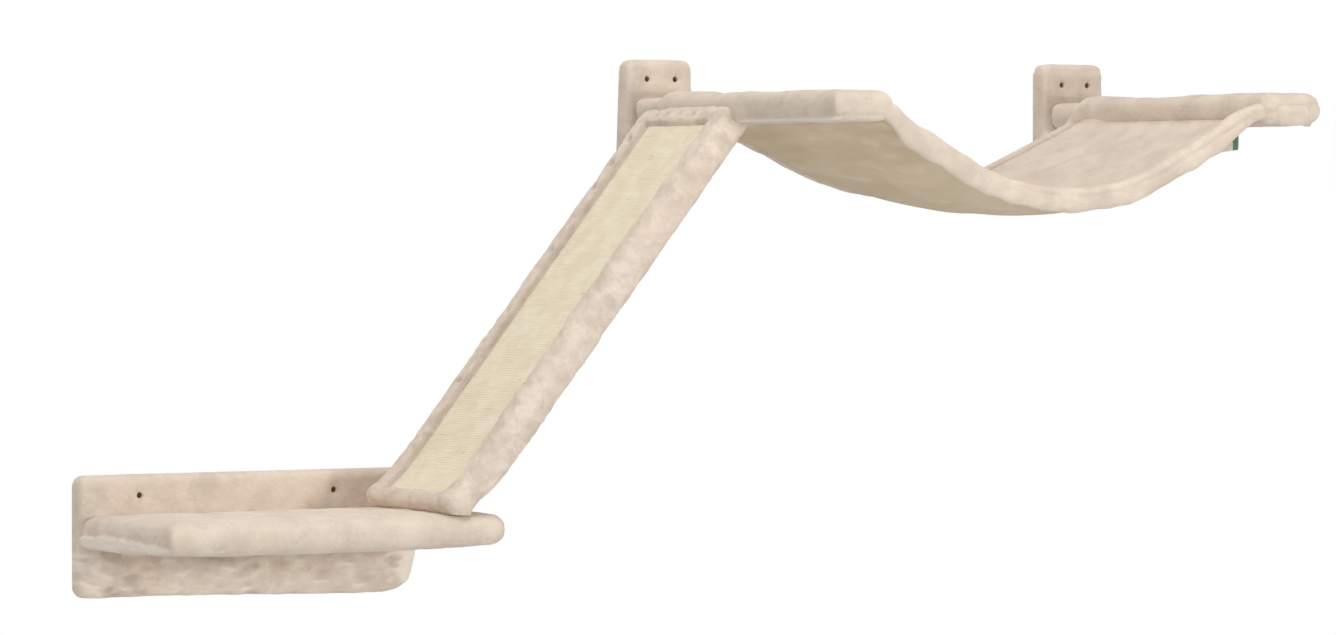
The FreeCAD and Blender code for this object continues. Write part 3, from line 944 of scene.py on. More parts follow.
# Painted light and shade on the side of each pocket that faces left: darker on the left pocket, lighter on
# the right one.
pocket_side_light_and_shade = {"left": -0.20, "right": 0.20}
pocket_shade, pocket_shade_lumps = 0.22, (0.03, 0.03, 0.012)
strap_low, strap_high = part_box("ramp_head_strap")
strap_clear, strap_free = 0.004, 0.030


def settled(bm, low, high, side):
    """Lifts an arm towards its tip, and tucks its lower side in, except where the strap holds it."""
    for v in bm.verts:
        rise = arm_rises[side] * ease(high.y - v.co.y, 0.0, high.y - low.y)
        off_strap = ease(max(strap_low.y - v.co.y, v.co.y - strap_high.y), strap_clear, strap_free)
        v.co.z += rise + off_strap * arm_tucks[side] * (high.z - v.co.z) / (high.z - low.z)
    return bm


def arm_cover(side):
    node = side + "_arm_cover"
    low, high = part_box(node)
    bm = slab(high - low, (arm_corner, arm_corner, 0, 0), arm_rim, arm_rim, butted_rear=True)
    bmesh.ops.translate(bm, vec=low, verts=bm.verts)
    bm = pushed(netted(bm, cover_cell), lambda place, normal: pile_height(place) - pocket_grow / 4)
    cover = piece_from(settled(bm, low, high, side), side + "_arm_plush", plush_finish, "plush", node)


def pocket(side, tip_seam_rise, tip_seam_slant, tip_slack):
    """The cloth over an arm; tip_slack is how far it hangs past its CAD solid's tip."""
    node = "hammock_" + side + "_sleeve"
    low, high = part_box(node)
    size = high - low + Vector((0, tip_slack, 0))
    round_corner, round_rim = arm_corner + pocket_grow, arm_rim + pocket_grow
    bm = slab(size, (round_corner, round_corner, 0, 0), round_rim, round_rim, butted_rear=True)
    front = low.y - tip_slack
    bmesh.ops.translate(bm, vec=(low.x, front, low.z), verts=bm.verts)
    bm = netted(bm, cover_cell)
    mouth = high.y - cover_cell
    bmesh.ops.bisect_plane(bm, geom=bm.verts[:] + bm.edges[:] + bm.faces[:], plane_co=(0, mouth, low.z),
                           plane_no=(0, 1, mouth_slant), clear_outer=True)
    seam = low.z + tip_seam_rise * (high.z - low.z)
    inward = 1 if side == "left" else -1
    inner, outer = (high.x, low.x) if side == "left" else (low.x, high.x)

    def swell(place, normal):
        drawn = ridge(place, Vector((outer, front, 0)), round_corner, -inward)
        height = pile_height(place) + drawn * (1 - abs(normal.z))
        gap = (mouth - mouth_slant * (place.z - low.z) - place.y - pocket_roll_width) / pocket_roll_width
        if abs(gap) < 1:
            height += pocket_roll * math.sqrt(1 - gap * gap)
        facing = ease(-normal.y, 0.1, 0.7)
        seam_gap_here = place.z - seam - tip_seam_slant * (place.x - (low.x + high.x) / 2)
        return height - facing * tip_seam_depth * math.exp(-(seam_gap_here / tip_seam_width) ** 2)

    # Painted light and shade on the side facing left; the mottle and the pale lower seam are the cloth's own.
    def pile_and_shade(place, normal):
        painted_side_light_and_shade = pocket_side_light_and_shade[side] * ease(-normal.x, 0.4, 0.8)
        shade = pocket_shade * rough(place, pocket_shade_lumps)
        over_edge = place.z - low.z - arm_tucks[side]
        edge = low_edge_tone * ease(low_edge_height - over_edge, 0.0, low_edge_blur)
        on_side = shade * ease(abs(normal.x), 0.4, 0.8)
        return painted_side_light_and_shade * (1 + 2 * shade) + on_side + edge * ease(-normal.x, 0.0, 0.4)

    pushed(bm, swell)
    for v in bm.verts:
        pulled = high.z - pull_slope * max(0.0, pull_widths[side] + inward * (v.co.x - inner))
        if v.co.z > pulled:
            v.co.z += (pulled - v.co.z) * ease(front + pull_reach - v.co.y, 0.0, 0.6 * pull_reach)
    settled(bm, low, high, side)
    bmesh.ops.recalc_face_normals(bm, faces=bm.faces)
    bmesh.ops.solidify(bm, geom=bm.faces[:], thickness=pocket_cloth)
    cloth = piece_from(note_pile_and_shade(bm, pile_and_shade), "hammock_" + side + "_pocket", plush_finish, "plush", node)


for side in ("left", "right"):
    arm_cover(side)
    pocket(side, **pocket_tips[side])

# %% [markdown]
# ## Sling and lining
#
# Between the pockets the cloth hangs under its own weight: straight sides that run into a round bottom,
# deeper at the front than at the wall and deepest between them. A grid is bent to that curve, with a
# few soft creases that run from the pockets towards the middle, and is then given its thickness. The
# front corners are drawn forwards, and the right one up, as the front hem's ends are. The lining is a
# thinner sheet just under it.

# %% Sling and lining
left_pocket, right_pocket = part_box("hammock_left_sleeve"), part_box("hammock_right_sleeve")
sling_x = (left_pocket[0].x + right_pocket[1].x) / 2
sling_half = (right_pocket[0].x - left_pocket[1].x) / 2
sling_overlap = 0.010
sling_hang = 0.0338
sling_end = sling_half + sling_overlap
sling_level = left_pocket[1].z - sling_hang
sling_front, sling_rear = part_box("hammock_sling")[0].y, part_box("hammock_sling")[1].y
rear_sag, middle_sag, front_sag = 0.074, 0.0945, 0.088
side_steepness = 1.4
sling_cloth = 0.005
lining_cloth = 0.002
seam_gap = 0.0003
lining_fillet = 0.004
front_fillet, rear_fillet_gain = 0.010, 0.013
fillet_start, fillet_full = -0.150, -0.080
end_reach = 0.003
main_share = 0.92
end_tilt = math.radians(80.0)
crease_fade = 0.04
front_swing, swing_shares = 0.0105, (0.86, 0.99)
right_end_lift, lift_shares = 0.0075, (0.75, 0.95)
corner_depth = 0.045
sling_columns, sling_rows = 180, 100
half_curve_steps = 50


def sag_at(y):
    """How deep the sling hangs at a distance from the wall."""
    share = (y - sling_rear) / (sling_front - sling_rear)
    crown = 1 - (2 * share - 1) ** 2
    return rear_sag + (front_sag - rear_sag) * share + crown * (middle_sag - (rear_sag + front_sag) / 2)


def sling_height(x, sag):
    """Height of the sling's underside, and its slope, at a distance from its middle."""
    slope = math.atan(side_steepness * sag / sling_half)
    radius = (side_steepness - 1) * sag / (1 / math.cos(slope) - 1)
    turn = radius * math.sin(slope)
    bottom = sling_level - sag
    if abs(x) < turn:
        tilt = math.asin(x / radius)
        return bottom + radius * (1 - math.cos(tilt)), tilt
    rise = radius * (1 - math.cos(slope)) + (abs(x) - turn) * math.tan(slope)
    return bottom + rise, math.copysign(slope, x)


def fillet_at(y):
    """Radius by which the sling's end runs up the pocket: wide at the wall, small in front."""
    return front_fillet + rear_fillet_gain * ease(y, fillet_start, fillet_full)


def sling_line(share, sag, fillet):
    """Place across, height and tilt of the sling's underside for a share from -1, left, to 1, right."""
    slope = math.atan(side_steepness * sag / sling_half)
    run_out = fillet * math.tan((end_tilt - slope) / 2) * math.cos(slope)
    turn_x = sling_half + end_reach - run_out
    x = turn_x * min(abs(share) / main_share, 1.0)
    height, tilt = sling_height(x, sag)
    if abs(share) > main_share:
        tilt = slope + (end_tilt - slope) * (abs(share) - main_share) / (1 - main_share)
        x += fillet * (math.sin(tilt) - math.sin(slope))
        height += fillet * (math.cos(slope) - math.cos(tilt))
    return math.copysign(x, share), height, math.copysign(tilt, share)


creases = [
    fold((0.215, -0.330, 0), (0.130, -0.270, 0), (0.060, -0.150, 0), 0.0042, 0.014),
    fold((0.225, -0.250, 0), (0.150, -0.200, 0), (0.095, -0.100, 0), 0.0034, 0.013),
    fold((0.190, -0.375, 0), (0.100, -0.330, 0), (0.020, -0.240, 0), 0.0030, 0.016),
    fold((-0.215, -0.300, 0), (-0.140, -0.250, 0), (-0.070, -0.130, 0), 0.0036, 0.014),
    fold((-0.205, -0.170, 0), (-0.130, -0.210, 0), (-0.050, -0.300, 0), 0.0030, 0.015),
    fold((-0.150, -0.370, 0), (-0.060, -0.300, 0), (0.020, -0.190, 0), 0.0026, 0.018),
]


def front_corner(x, y):
    """How far the sling is drawn forwards at both ends of its front edge, and up at the right one."""
    along = x / sling_end
    near = ease(sling_front + corner_depth - y, 0.0, corner_depth)
    forward = front_swing * ease(abs(along), *swing_shares)
    up = right_end_lift * ease(along, *lift_shares)
    return near * forward, near * up


def sling_sheet(name, low, thickness, fillet, material, slot, node):
    """A layer of the sling whose underside lies this far above the sling's own."""
    bm = bmesh.new()
    bmesh.ops.create_grid(bm, x_segments=sling_columns, y_segments=sling_rows, size=0.5)
    for v in bm.verts:
        y = sling_front + (sling_rear - sling_front) * (v.co.y + 0.5)
        x, height, tilt = sling_line(2 * v.co.x, sag_at(y), fillet(y))
        lift = sum(crease(Vector((x, y, 0))) for crease in creases) + pile_height(Vector((x, y, 0))) / 2
        out = low + lift * ease(sling_half - abs(x), 0.0, crease_fade)
        forward, up = front_corner(x, y)
        v.co = (sling_x + x - out * math.sin(tilt), y - forward, height + up + out * math.cos(tilt))
    thickened(bm, Vector((0, 0, 1)), -thickness)
    sheet = piece_from(bm, name, material, slot, node)
    shares = [i / half_curve_steps - 1 for i in range(2 * half_curve_steps + 1)]
    across = [sling_height(sling_end * share, middle_sag)[0] for share in shares]
    step = sling_end / half_curve_steps
    width = sum(math.hypot(step, b - a) for a, b in zip(across, across[1:]))


sling_sheet("hammock_sling_plush", 0.0, sling_cloth, fillet_at, plush_finish, "plush", "hammock_sling")
sling_sheet("hammock_lining_cloth", -seam_gap - lining_cloth, lining_cloth, lambda y: lining_fillet,
            lining_finish, "lining", "hammock_lining")

# %% [markdown]
# ## Hems
#
# The sling's front and rear edges are rolled over and sewn down. A hem keeps one form of section all
# along its curve, so a small rounded square is carried along it, one extrusion a step, and only its
# height changes. The front hem is thick and puckered, with a faint crease along its face, which is
# darkened by painted shade. Its ends swing forward to the pockets' tips, and the right one runs on
# along its tip. The rear hem is thin, and its ends run up along the pockets' mouths.

# %% Hems
hem_steps = 170
roll_steps = 5
crease_rise = 0.0120
crease_width = 0.0016
crease_wander, crease_lumps = 0.0012, (0.03, 1, 1)
crease_end = 0.050
# Painted shade in the front hem's crease.
crease_shade_tone = 300
gather_lumps, under_lumps = (0.024, 0.028, 1), (0.030, 1, 1)
hem_patch_tone, hem_patch_lumps = 0.25, (0.022, 0.02, 0.010)
hem_below, hem_above = 0.006, 0.020
hem_taper, taper_shares = 0.003, (0.80, 1.0)
right_thinner, thinner_shares = 0.001, (0.35, 0.95)
left_droop, right_droop = 0.0056, -0.0014
left_climb, left_rise = 0.09, 0.022
tip_climb, tip_run = 0.24, 0.060
tip_turn, tip_end = 0.014, 0.045
level_start, level_full = -0.018, 0.014
tip_fuller, tip_end_thinner = 0.003, 0.005
tip_rise = 0.005
tip_level = right_pocket[0].z + arm_rises["right"] + tip_rise
tip_swing = 0.0105
rear_below, rear_above = 0.004, 0.008
rear_climb, rear_rise = 0.03, 0.011
rear_swing, rear_swing_shares = 0.009, (0.94, 1.0)


def swept(width, height, roundness, frames, flat_cuts=0):
    """A rounded rectangle carried through a row of places and directions."""
    bm = bmesh.new()
    bmesh.ops.create_grid(bm, x_segments=1, y_segments=1, size=0.5)
    across = frames[0].to_scale()
    bmesh.ops.scale(bm, vec=(width * across.x, height * across.y, 1.0), verts=bm.verts)
    bmesh.ops.bevel(bm, geom=bm.verts[:], offset=roundness, offset_type="OFFSET", affect="VERTICES",
                    segments=roll_steps, profile=0.5, material=-1)
    flats = [e for e in bm.edges if e.calc_length() > 2 * roundness / 3]
    bmesh.ops.subdivide_edges(bm, edges=flats, cuts=flat_cuts)
    bmesh.ops.scale(bm, vec=(1 / across.x, 1 / across.y, 1.0), verts=bm.verts)
    tip = bm.faces[:]
    bmesh.ops.transform(bm, matrix=frames[0], verts=bm.verts)
    for step, (before, after) in enumerate(zip(frames, frames[1:])):
        grown = bmesh.ops.extrude_face_region(bm, geom=tip)["geom"]
        if step > 0:
            bmesh.ops.delete(bm, geom=tip, context="FACES")
        tip = [g for g in grown if isinstance(g, bmesh.types.BMFace)]
        verts = [g for g in grown if isinstance(g, bmesh.types.BMVert)]
        bmesh.ops.transform(bm, matrix=after @ before.inverted(), verts=verts)
    bmesh.ops.recalc_face_normals(bm, faces=bm.faces)
    return bm


def hem_frame(x, height, tilt, y, below, above):
    """A place on the sling's curve for a hem of height 1: X points at the wall, Y out of the curve."""
    turn = Matrix((
        (0.0, -math.sin(tilt), math.cos(tilt)),
        (1.0, 0.0, 0.0),
        (0.0, math.cos(tilt), math.sin(tilt)),
    )).to_4x4()
    rise = (above - below) / 2
    place = Vector((sling_x + x - rise * math.sin(tilt), y, height + rise * math.cos(tilt)))
    return Matrix.Translation(place) @ turn @ Matrix.Diagonal((1.0, above + below, 1.0, 1.0))


def hem(end, line, reach, swing, roundness, pucker, crease):
    """A roll along one edge of the sling; line, reach and swing are functions of the share along it."""
    node = "hammock_" + end + "_hem"
    low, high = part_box(node)
    middle = (low.y + high.y) / 2
    shares = [2 * i / hem_steps - 1 for i in range(hem_steps + 1)]
    frames = [hem_frame(*line(share), middle - swing(share), *reach(share)) for share in shares]
    bm = swept(high.y - low.y, 1.0, roundness, frames, flat_cuts=4)

    def above(place):
        """How far a place is above the sling's line."""
        height, tilt = sling_height(place.x - sling_x, front_sag)
        return (place.z - height) * math.cos(tilt)

    def in_crease(place, normal):
        wander = crease_wander * rough((place.x, 0, 3.0), crease_lumps)
        facing = ease(-normal.y, 0.3, 0.8) * ease(sling_end - abs(place.x - sling_x), 0.0, crease_end)
        return facing * math.exp(-((above(place) - crease_rise - wander) / crease_width) ** 2)

    def swell(place, normal):
        gathers = rough((place.x, place.z, 7.0), gather_lumps)
        under = ease(-normal.z, 0.1, 0.7)
        lumps = max(0.0, rough((place.x, 0, 1.5), under_lumps)) * under
        return pile_height(place) + pucker * (gathers + 0.7 * lumps) - crease * in_crease(place, normal)

    # Painted shade along the crease; the patches are the pile's own.
    def pile_and_shade(place, normal):
        patch = hem_patch_tone * rough(place, hem_patch_lumps)
        return patch - crease_shade_tone * crease * in_crease(place, normal)

    pushed(bm, swell)
    roll = piece_from(note_pile_and_shade(bm, pile_and_shade), "hammock_" + end + "_roll", plush_finish, "plush", node)


def climbed(share, climb, rise):
    """A hem's place along the sling, from -1 to 1, and how far it has gone past the sling's end."""
    reached = abs(share) * (1 + climb)
    return math.copysign(min(reached, 1.0), share), rise * max(0.0, reached - 1) / climb


def front_path(share):
    return climbed(share, left_climb, left_rise) if share < 0 else climbed(share, tip_climb, tip_run)


def front_line(share):
    """The front edge: its left end climbs into the pocket's tip, its right end runs level along the tip."""
    along, past = front_path(share)
    if share < 0:
        height, tilt = sling_height(sling_end * along, front_sag)
        droop = left_droop * ease(-share, 0.15, 0.5) * ease(1 + along, 0.0, 0.14)
        return sling_end * along - past * math.cos(tilt), height - droop + past * abs(math.sin(tilt)), tilt
    x = sling_end * along + past
    height, tilt = sling_height(x, front_sag)
    droop = right_droop * ease(along, 0.15, 0.5) * ease(1 - along, 0.0, 0.14)
    height += right_end_lift * ease(along, *lift_shares) - droop
    level = ease(x - sling_end, level_start, level_full)
    return x, height + (tip_level - height) * level, tilt * (1 - level)


def front_reach(share):
    along, past = front_path(share)
    taper = hem_taper * ease(abs(along), *taper_shares)
    below = hem_below - taper
    above = hem_above - taper - right_thinner * ease(along, *thinner_shares)
    if share > 0:
        below += tip_fuller * ease(past, 0.0, tip_turn)
        above -= tip_end_thinner * ease(past, tip_end, tip_run)
    return below, above


def swung_forward(share):
    along, past = front_path(share)
    swing = front_swing * ease(abs(along), *swing_shares)
    if share > 0:
        swing += tip_swing * (ease(past, 0.0, tip_turn) - ease(past, tip_end, tip_run))
    return swing


def rear_line(share):
    """The rear edge, which ends in a climb along the pockets' mouths."""
    along, climb = climbed(share, rear_climb, rear_rise)
    x, height, tilt = sling_line(along, rear_sag, fillet_at(sling_rear))
    return x + math.copysign(climb * math.cos(end_tilt), share), height + climb * math.sin(end_tilt), tilt


def rear_reach(share):
    return rear_below, rear_above


def rear_swung(share):
    return rear_swing * ease(abs(share), *rear_swing_shares)


hem("front", front_line, front_reach, swung_forward, roundness=0.0068, pucker=0.0024, crease=0.0011)
hem("rear", rear_line, rear_reach, rear_swung, roundness=0.0045, pucker=0.0008, crease=0.0)

# %% [markdown]
# ## Ramp
#
# The ramp is a padded slab on a slope. Its own directions are read from the mat's CAD solid: along the
# slope, across it, and out of it. It is shaped lying flat. Where the mat lies, the plush is drawn down,
# along a line that wanders as a hand cut does, and staples pull dimples into the border. Painted shade
# darkens the groove along the cut, the dimples and the fold at the foot, and painted light pales the
# foot's end face. Turned onto its slope, its lowest part leans to the left. The foot then stops at the
# shelf, whose plush gives way under it, and the head stops at the arm's pocket.

# %% Ramp
mat_points = [v.co.copy() for v in frame["nodes"]["ramp_sisal_mat"].data.vertices]
mat_foot = min(mat_points, key=lambda p: p.x)
mat_head = max(mat_points, key=lambda p: p.z)
ramp_along = Vector((mat_head.x - mat_foot.x, 0, mat_head.z - mat_foot.z)).normalized()
ramp_slope = math.atan2(ramp_along.z, ramp_along.x)
ramp_out = Vector((-ramp_along.z, 0, ramp_along.x))
mat_length = (mat_head - mat_foot).dot(ramp_along)
foot_border, head_border, near_border, far_border = 0.013, 0.020, 0.027, 0.032
mat_top = 0.032
ramp_thickness = 0.035
ramp_top_rim = 0.011
ramp_low_rim = 0.006
head_slack = 0.005
mat_shift = 0.0045
foot_bend = 0.013
foot_bend_height = 0.048
ramp_corner = 0.014
border_crown = 0.0018
foot_swell = 0.0060
ramp_near, ramp_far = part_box("ramp_cover")[0].y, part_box("ramp_cover")[1].y
ramp_length = mat_length + foot_border + head_border
ramp_size = Vector((ramp_length + head_slack, ramp_far - ramp_near, ramp_thickness))
ramp_origin = Vector((mat_foot.x, ramp_near, mat_foot.z)) - ramp_along * foot_border - ramp_out * mat_top
ramp_place = Matrix((
    (ramp_along.x, 0.0, ramp_out.x, ramp_origin.x),
    (0.0, 1.0, 0.0, ramp_origin.y),
    (ramp_along.z, 0.0, ramp_out.z, ramp_origin.z),
    (0.0, 0.0, 0.0, 1.0),
))
mat_draw = 0.0066
border_dip = 0.0040
border_dip_width = 0.0042
border_crown_inset, border_crown_width = 0.010, 0.007
border_shade_inset, border_shade_width = 0.0015, 0.0026
cut_edge_start, cut_edge_full = -0.0030, 0.0025
# Painted shade along the cut edge and in the staples' dimples.
border_shade_tone, staple_dimple_shade_tone = 0.52, 0.7
cut_wander, cut_lumps = 0.0022, (0.022, 0.022, 1)
near_slow_wander, near_slow_lumps = 0.0050, (0.045, 1, 1)
near_quick_wander, near_quick_lumps = 0.0022, (0.012, 1, 1)
ramp_waves = ((0.0008, 0.016), (0.0007, 0.007))
ramp_patch_tone, ramp_patch_lumps = 0.34, (0.014, 0.010, 0.010)
# Painted light on the foot's end face, and painted shade in the fold at its corner; the streaks are the
# pile's own.
foot_end_light_tone, foot_streak_tone, foot_streak_lumps = 0.38, 0.34, (0.02, 0.007, 0.016)
flap_fold_shade_tone = 160
end_swell_start, end_swell_full = 0.050, 0.005
far_swell_start, far_swell_full = 0.070, 0.010
# Where the painted light on the foot's end face fades out.
foot_light_end, foot_light_run = 0.060, 0.03
far_half_edge = 0.02
head_staple_inset, head_staples = 0.012, (0.060, 0.088, 0.112, 0.132)
far_staple_inset, far_staples = 0.021, (0.060, 0.150, 0.245, 0.330, 0.415, 0.450, 0.485)
staple_places = [(ramp_length - head_staple_inset, y) for y in head_staples]
staple_places += [(x, ramp_size.y - far_staple_inset) for x in far_staples]
ramp_lap = 0.087
foot_flap = fold((-0.002, 0.020, 0.036), (-0.004, 0.015, 0.018), (-0.002, 0.009, 0.000), 0.0030, 0.0032)
foot_gap = 0.0005
pocket_press = 0.0004
press_reach = 0.008
press_gap = 0.0003
shelf_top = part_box("shelf_board_cover")[1].z
pocket_low = left_pocket[0] + Vector((0, 0, arm_tucks["left"]))
pocket_high = left_pocket[1]


def inside_mat(x, y):
    """How far a place on the ramp is inside the plush's cut edge."""
    wander = cut_wander * rough((x, y, 3.0), cut_lumps)
    near_wander = near_slow_wander * rough((x, 0, 11.0), near_slow_lumps)
    near_wander += near_quick_wander * rough((x, 0, 5.0), near_quick_lumps)
    return wander + min(x - foot_border + mat_shift, ramp_length - head_border - mat_shift - x,
                        y - near_border - near_wander, ramp_size.y - far_border - y)


def clear_of_bar(place, low, high, radius, gap):
    """The place moved out of a bar along the wall's normal with round edges, if it lies inside it."""
    middle, half = (low + high) / 2, (high - low) / 2
    away = Vector((place.x - middle.x, 0, place.z - middle.z))
    over = Vector((abs(away.x) - half.x + radius, 0, abs(away.z) - half.z + radius))
    if over.x > 0 and over.z > 0:
        depth, out = over.length - radius, over.normalized()
    elif over.x > over.z:
        depth, out = over.x - radius, Vector((1, 0, 0))
    else:
        depth, out = over.z - radius, Vector((0, 0, 1))
    if depth >= gap:
        return place
    signed = Vector((math.copysign(out.x, away.x), 0, math.copysign(out.z, away.z)))
    return place + signed * (gap - depth)


def staple_pull(place):
    """How strongly the staples pull at a place on the ramp's border, from 0 to 1."""
    gaps = [math.hypot(place.x - x, place.y - y) for x, y in staple_places]
    return sum(math.exp(-(gap / border_dip_width) ** 2) for gap in gaps)


def bent_at_foot(place):
    """The ramp's lowest part leans towards the middle of the shelf."""
    above = place.z - shelf_top
    return place - Vector((foot_bend * ease(foot_bend_height - above, 0.0, foot_bend_height), 0, 0))


def ramp_cover():
    bm = slab(ramp_size, (ramp_corner,) * 4, ramp_low_rim, ramp_top_rim)
    bm = swollen(bm, lambda place: inside_mat(place.x, place.y) > 0 and place.z > ramp_thickness / 2)

    def swell(place, normal):
        lump = pile_height(place, ramp_waves)
        end = foot_swell * ease(place.x, end_swell_start, end_swell_full) * ease(-normal.x, 0.0, 0.6)
        far = 0.5 * foot_swell * ease(place.x, far_swell_start, far_swell_full) * ease(normal.y, 0.2, 0.8)
        height = pile_height(place) + lump + end + far - foot_flap(place)
        if normal.z > 0.3:
            inside = inside_mat(place.x, place.y)
            height -= mat_draw * ease(inside, cut_edge_start, cut_edge_full)
            height += border_crown * math.exp(-((inside + border_crown_inset) / border_crown_width) ** 2)
            height -= border_dip * staple_pull(place)
        if normal.z < -0.5:
            height += lap_step * ease(place.y, ramp_lap - lap_edge, ramp_lap + lap_edge)
        return height

    # Painted shade along the cut edge, in the dimples and in the foot's fold, and painted light on the foot's
    # end face; the patches and streaks are the pile's own.
    def pile_and_shade(place, normal):
        tone = ramp_patch_tone * rough(place, ramp_patch_lumps)
        if normal.z > 0.2:
            inside = inside_mat(place.x, place.y)
            far = ease(place.y, ramp_size.y / 2, ramp_size.y / 2 + far_half_edge)
            shade = math.exp(-((inside + border_shade_inset) / border_shade_width) ** 2)
            tone -= border_shade_tone * (0.45 + 0.55 * far) * shade
            tone -= staple_dimple_shade_tone * staple_pull(place)
        if normal.x < -0.4:
            streak = foot_streak_tone * rough(place, foot_streak_lumps)
            near_foot = ease(foot_light_end - place.x, 0.0, foot_light_run)
            tone += near_foot * (foot_end_light_tone + streak) - flap_fold_shade_tone * foot_flap(place)
        return tone

    pushed(bm, swell)
    note_pile_and_shade(bm, pile_and_shade)
    bmesh.ops.transform(bm, matrix=ramp_place, verts=bm.verts)
    for v in bm.verts:
        v.co = bent_at_foot(v.co)
        v.co.z = max(v.co.z, shelf_top + foot_gap)
        v.co = clear_of_bar(v.co, pocket_low, pocket_high, arm_rim + pocket_grow, -pocket_press)
    cover = piece_from(bm, "ramp_plush", ruffled_finish, "plush", "ramp_cover")
    return cover


def pressed_under(soft, weight, gap):
    """Presses the points of a soft piece down under what stands on it."""
    tree = surface_of(weight)
    up = Vector((0, 0, 1))
    moved = 0
    for v in soft.data.vertices:
        underside = tree.ray_cast(v.co - up * press_reach, up, press_reach + gap)[0]
        if underside and v.co.z > shelf_top - press_reach:
            v.co.z = underside.z - gap
            moved += 1
    soft.data.update()
    print("the ramp's foot presses down", moved, "points of the shelf's plush")


pressed_under(shelf_piece, ramp_cover(), press_gap)

# %% [markdown]
# ## Sisal mat
#
# The mat is a sheet with a rib every three millimetres. The grid has four rows of faces for each rib,
# so the ribs are real. It lies a little nearer to the ramp's foot than its CAD solid does. Its near and
# lower edges run on under the plush. Its far and upper edges end about a millimetre short of the cut,
# where a thin dark gap can show.

# %% Sisal mat
rib = 0.003
rib_height = 0.0005
mat_tuck = 0.004
mat_gap = 0.0012
mat_thickness = 0.002
faces_per_rib = 4
mat_columns = 28
rib_wander, rib_lumps = 0.0006, (0.01, 0.02, 1)
mat_wave, mat_wave_lumps = 0.0005, (0.05, 0.05, 1)


def sisal_mat():
    length = mat_length + mat_tuck - mat_gap
    width = ramp_size.y - near_border - far_border + mat_tuck - mat_gap
    bm = bmesh.new()
    bmesh.ops.create_grid(bm, x_segments=int(faces_per_rib * length / rib), y_segments=mat_columns, size=0.5)
    for v in bm.verts:
        x = foot_border - mat_shift - mat_tuck + length * (v.co.x + 0.5)
        y = near_border - mat_tuck + width * (v.co.y + 0.5)
        wander = rib_wander * rough((x, y, 0), rib_lumps)
        lift = rib_height * abs(math.sin(math.pi * (x + wander) / rib))
        wave = mat_wave * rough((x, y, 5.0), mat_wave_lumps)
        v.co = (x, y, mat_top - rib_height + lift + wave)
    bmesh.ops.transform(bm, matrix=ramp_place, verts=bm.verts)
    for v in bm.verts:
        v.co = bent_at_foot(v.co)
    thickened(bm, ramp_out, mat_thickness)
    mat = piece_from(bm, "ramp_sisal", woven_sisal(ramp_slope, rib), "sisal", "ramp_sisal_mat")


sisal_mat()

# %% [markdown]
# ## Tag
#
# A short tape is sewn into the hammock's right seam, folded double. It is plain, with one woven green
# edge.

# %% Tag
green_width, green_edge = 0.006, 0.0005
tape_thread_size = 0.0009
tape_relief = 0.0003
tape_thickness = 0.0004
tape_bend = 0.0006
half_tag_steps = 12
tag_drop = 1.10
tag_turn = 0.38
tag_fall = 0.35


def tape_finish():
    tape = Finish("plain_tape", {"Roughness": 0.7, "Specular IOR Level": 0.3})
    place = tape.place()
    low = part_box("hammock_tag")[0]
    depth = tape.node("ShaderNodeSeparateXYZ", inputs={"Vector": place}, output="Y")
    edge = tape.between(depth, low.y + green_width, low.y + green_width - green_edge)
    thread = tape.grain(place, tape_thread_size)
    colour = tape.mix(edge, (0.90, 0.90, 0.85, 1.0), (0.08, 0.30, 0.12, 1.0))
    flecked = tape.mix(thread * 0.2, colour, (0.6, 0.62, 0.6, 1.0))
    return tape.show(Base_Color=flecked, Normal=tape.bump(thread, tape_relief))


def folded_tag():
    low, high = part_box("hammock_tag")
    middle = (low + high) / 2
    across = Vector((0, 1, 0))
    frames = []
    for i in range(2 * half_tag_steps + 1):
        share = i / half_tag_steps - 1
        drop = tag_drop * (high.z - low.z) * (1 - abs(share) ** 1.5)
        side = tape_bend * math.copysign(abs(share) ** 0.5, share)
        place = Vector((middle.x + side, middle.y, high.z - drop))
        upright = Vector((0, 0, math.copysign(1, share)))
        heading = Vector((1, 0, 0)).lerp(upright, min(1, abs(share) * 3)).normalized()
        turn = Matrix((across, heading.cross(across), heading)).transposed().to_4x4()
        frames.append(Matrix.Translation(place) @ turn)
    bm = swept(high.y - low.y, tape_thickness, tape_thickness / 3, frames)
    for v in bm.verts:
        back = v.co.y - low.y
        v.co += Vector((-tag_turn * back, 0, -tag_turn * tag_fall * back))
    piece_from(bm, "hammock_tape", tape_finish(), "tag", "hammock_tag")


folded_tag()

# %% [markdown]
# ## Stitches and staples
#
# The lining is sewn to the pockets along their lower edges, and the hems are sewn down along the sling.
# A stitch is a small ball of few faces, drawn long and laid on the nearest place of the cloth. Staples
# hold the plush on the boards: on the panels' backs, and along the laps under the ramp and the shelf. A
# staple is a flat bar, half sunk in the pile.

# %% Stitches and staples
stitch_pitch = 0.006
stitch_size = Vector((0.0044, 0.0012, 0.0012))
staple_size = Vector((0.0100, 0.0013, 0.0008))
staple_bevel = 0.0002
ply_size = 0.0008
thread_relief = 0.0002
pocket_seam_inset, pocket_seam_rise, pocket_seam_end = 0.004, 0.003, 0.020
hem_seam_inset, lining_seam_inset, sling_seam_end = 0.004, 0.006, 0.02
seam_search = 0.02
lap_staple_inset, lap_staple_search = 0.007, 0.002
ramp_staple_end, shelf_staple_left, shelf_staple_right = 0.080, 0.040, 0.050


def thread_finish():
    thread = Finish("pale_thread", {"Roughness": 0.75, "Specular IOR Level": 0.25})
    ply = thread.grain(thread.place(), ply_size, detail=2.0)
    colour = thread.mix(ply, (0.58, 0.58, 0.56, 1.0), (0.80, 0.80, 0.78, 1.0))
    return thread.show(Base_Color=colour, Normal=thread.bump(ply, thread_relief))


